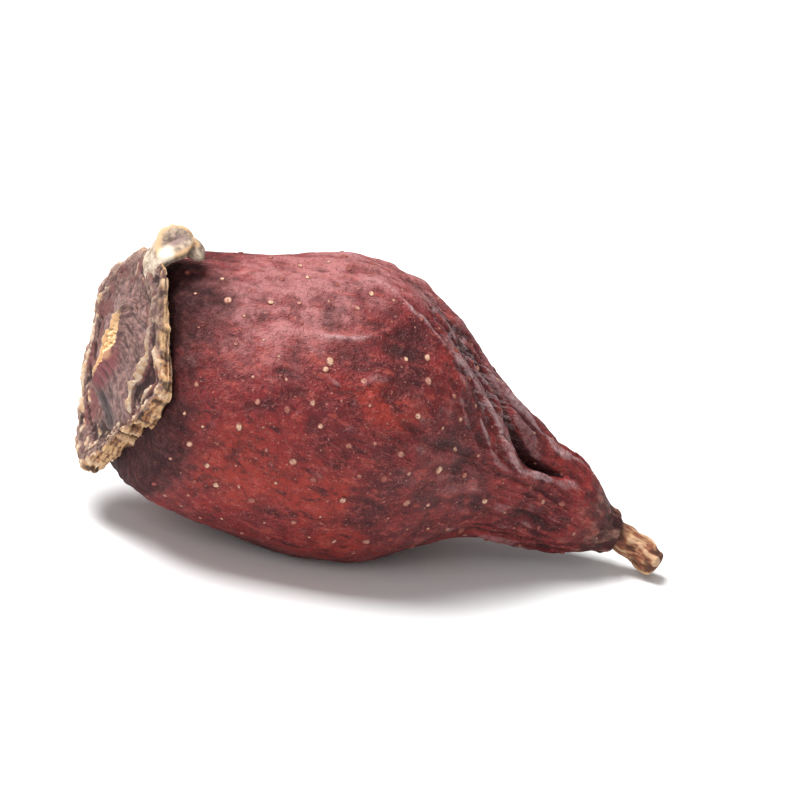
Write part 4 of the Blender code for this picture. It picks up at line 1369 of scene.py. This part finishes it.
def grow_styles(finish):
    """The dried bundle of styles in the cone's mouth."""
    made = Growth("style_tips", {"Spacing": 0.15 * MM, "Per Square Metre": 120e6, "Radius": 0.11 * MM})
    points = made.node(
        "GeometryNodeDistributePointsOnFaces",
        made.start["Host"],
        distribute_method="POISSON",
        Distance_Min=made.start["Spacing"],
        Density_Max=made.start["Per Square Metre"],
        Seed=4,
    )
    # each leans its own way, by angles in radians, and has its own thickness and length
    lean = made.triple(made.random(-0.4, 0.4, 5), made.random(-0.4, 0.4, 6), 0.0)
    leaned = made.node(
        "FunctionNodeRotateRotation",
        points.outputs["Rotation"],
        made.node("FunctionNodeEulerToRotation", lean).outputs[0],
        rotation_space="LOCAL",
    )
    placed = made.node(
        "GeometryNodeInstanceOnPoints",
        points.outputs["Points"],
        Instance=made.node("GeometryNodeMeshIcoSphere", made.start["Radius"], 2).outputs[0],
        Rotation=leaned.outputs[0],
        Scale=made.triple(made.random(0.8, 1.2, 1), made.random(0.8, 1.2, 2), made.random(2.6, 4.2, 3)),
    )
    return made.grow("style_tips", style_ground(), placed.outputs[0], finish, STYLE_CRUMPLE)


def make_floor():
    """A plain pale floor."""
    finish = Finish("pale_floor", roughness=0.75, specular=0.2)
    finish.colour = (0.86, 0.86, 0.86)
    mesh = bpy.data.meshes.new("floor")
    half = FLOOR_WIDTH / 2
    corners = [(-half, -half, 0), (half, -half, 0), (half, half, 0), (-half, half, 0)]
    mesh.from_pydata(corners, [], [(0, 1, 2, 3)])
    mesh.materials.append(finish.done())
    floor = show("floor", mesh)


def add_softbox(name, direction, distance, size, watts):
    """A square area light that looks at the fruit from a direction."""
    lamp = bpy.data.lights.new(name, "AREA")
    lamp.shape = "SQUARE"
    lamp.size = size
    lamp.energy = watts
    box = show(name, lamp)
    away = Vector(direction).normalized()
    box.location = away * distance
    box.rotation_euler = away.to_track_quat("Z", "Y").to_euler()
    box.visible_camera = False


def light_studio():
    add_softbox("key_light", (-0.40, 0.10, 1.0), distance=0.60, size=0.30, watts=6.0)
    add_softbox("fill_light", (-0.7, -1.0, 0.7), distance=0.80, size=0.50, watts=2.0)
    world = bpy.data.worlds.new("studio")
    world.use_nodes = True
    background = world.node_tree.nodes["Background"]
    background.inputs["Color"].default_value = (1, 1, 1, 1)
    background.inputs["Strength"].default_value = ROOM_LIGHT
    bpy.context.scene.world = world
    bpy.context.scene.view_settings.view_transform = "Standard"


def add_camera():
    """A long lens at the photograph's height over the table, with the calyx end turned a little nearer."""
    data = bpy.data.cameras.new("camera")
    data.lens = CAMERA_LENS
    data.sensor_width = CAMERA_SENSOR
    data.clip_start = 0.01
    camera = show("camera", data)
    a, e = CAMERA_AZIMUTH, CAMERA_ELEVATION
    back = Vector((math.sin(a) * math.cos(e), -math.cos(a) * math.cos(e), math.sin(e)))
    low, high = cad_box
    turn = back.to_track_quat("Z", "Y").to_matrix().to_4x4() @ Matrix.Rotation(CAMERA_ROLL, 4, "Z")
    distance = VIEW_WIDTH * CAMERA_LENS / CAMERA_SENSOR
    camera.matrix_world = Matrix.Translation((low + high) / 2 + back * distance) @ turn
    bpy.context.scene.camera = camera


def settle(piece, slot, *nodes):
    """Hands a finished piece to the frame."""
    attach(piece, "root")
    if nodes:
        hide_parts(*nodes)


def build():
    rings, marks = body_skin()
    settle(make_body(rings, marks, dried_skin_finish()), "dried_skin", "hip_body")
    settle(grow_scars(rings, scar_finish()), "dried_skin")
    settle(make_plate(calyx_finish()), "calyx_scale", "calyx_plate")
    settle(make_dome(nectary_finish()), "nectary_skin", "nectary_dome")
    settle(grow_styles(style_finish()), "style_tuft", "style_plug")
    settle(make_sepal(sepal_finish()), "sepal_root", "sepal_stub")
    settle(make_stalk(stalk_finish()), "stalk_wood", "stalk_stub")
    make_floor()
    light_studio()
    add_camera()


build()
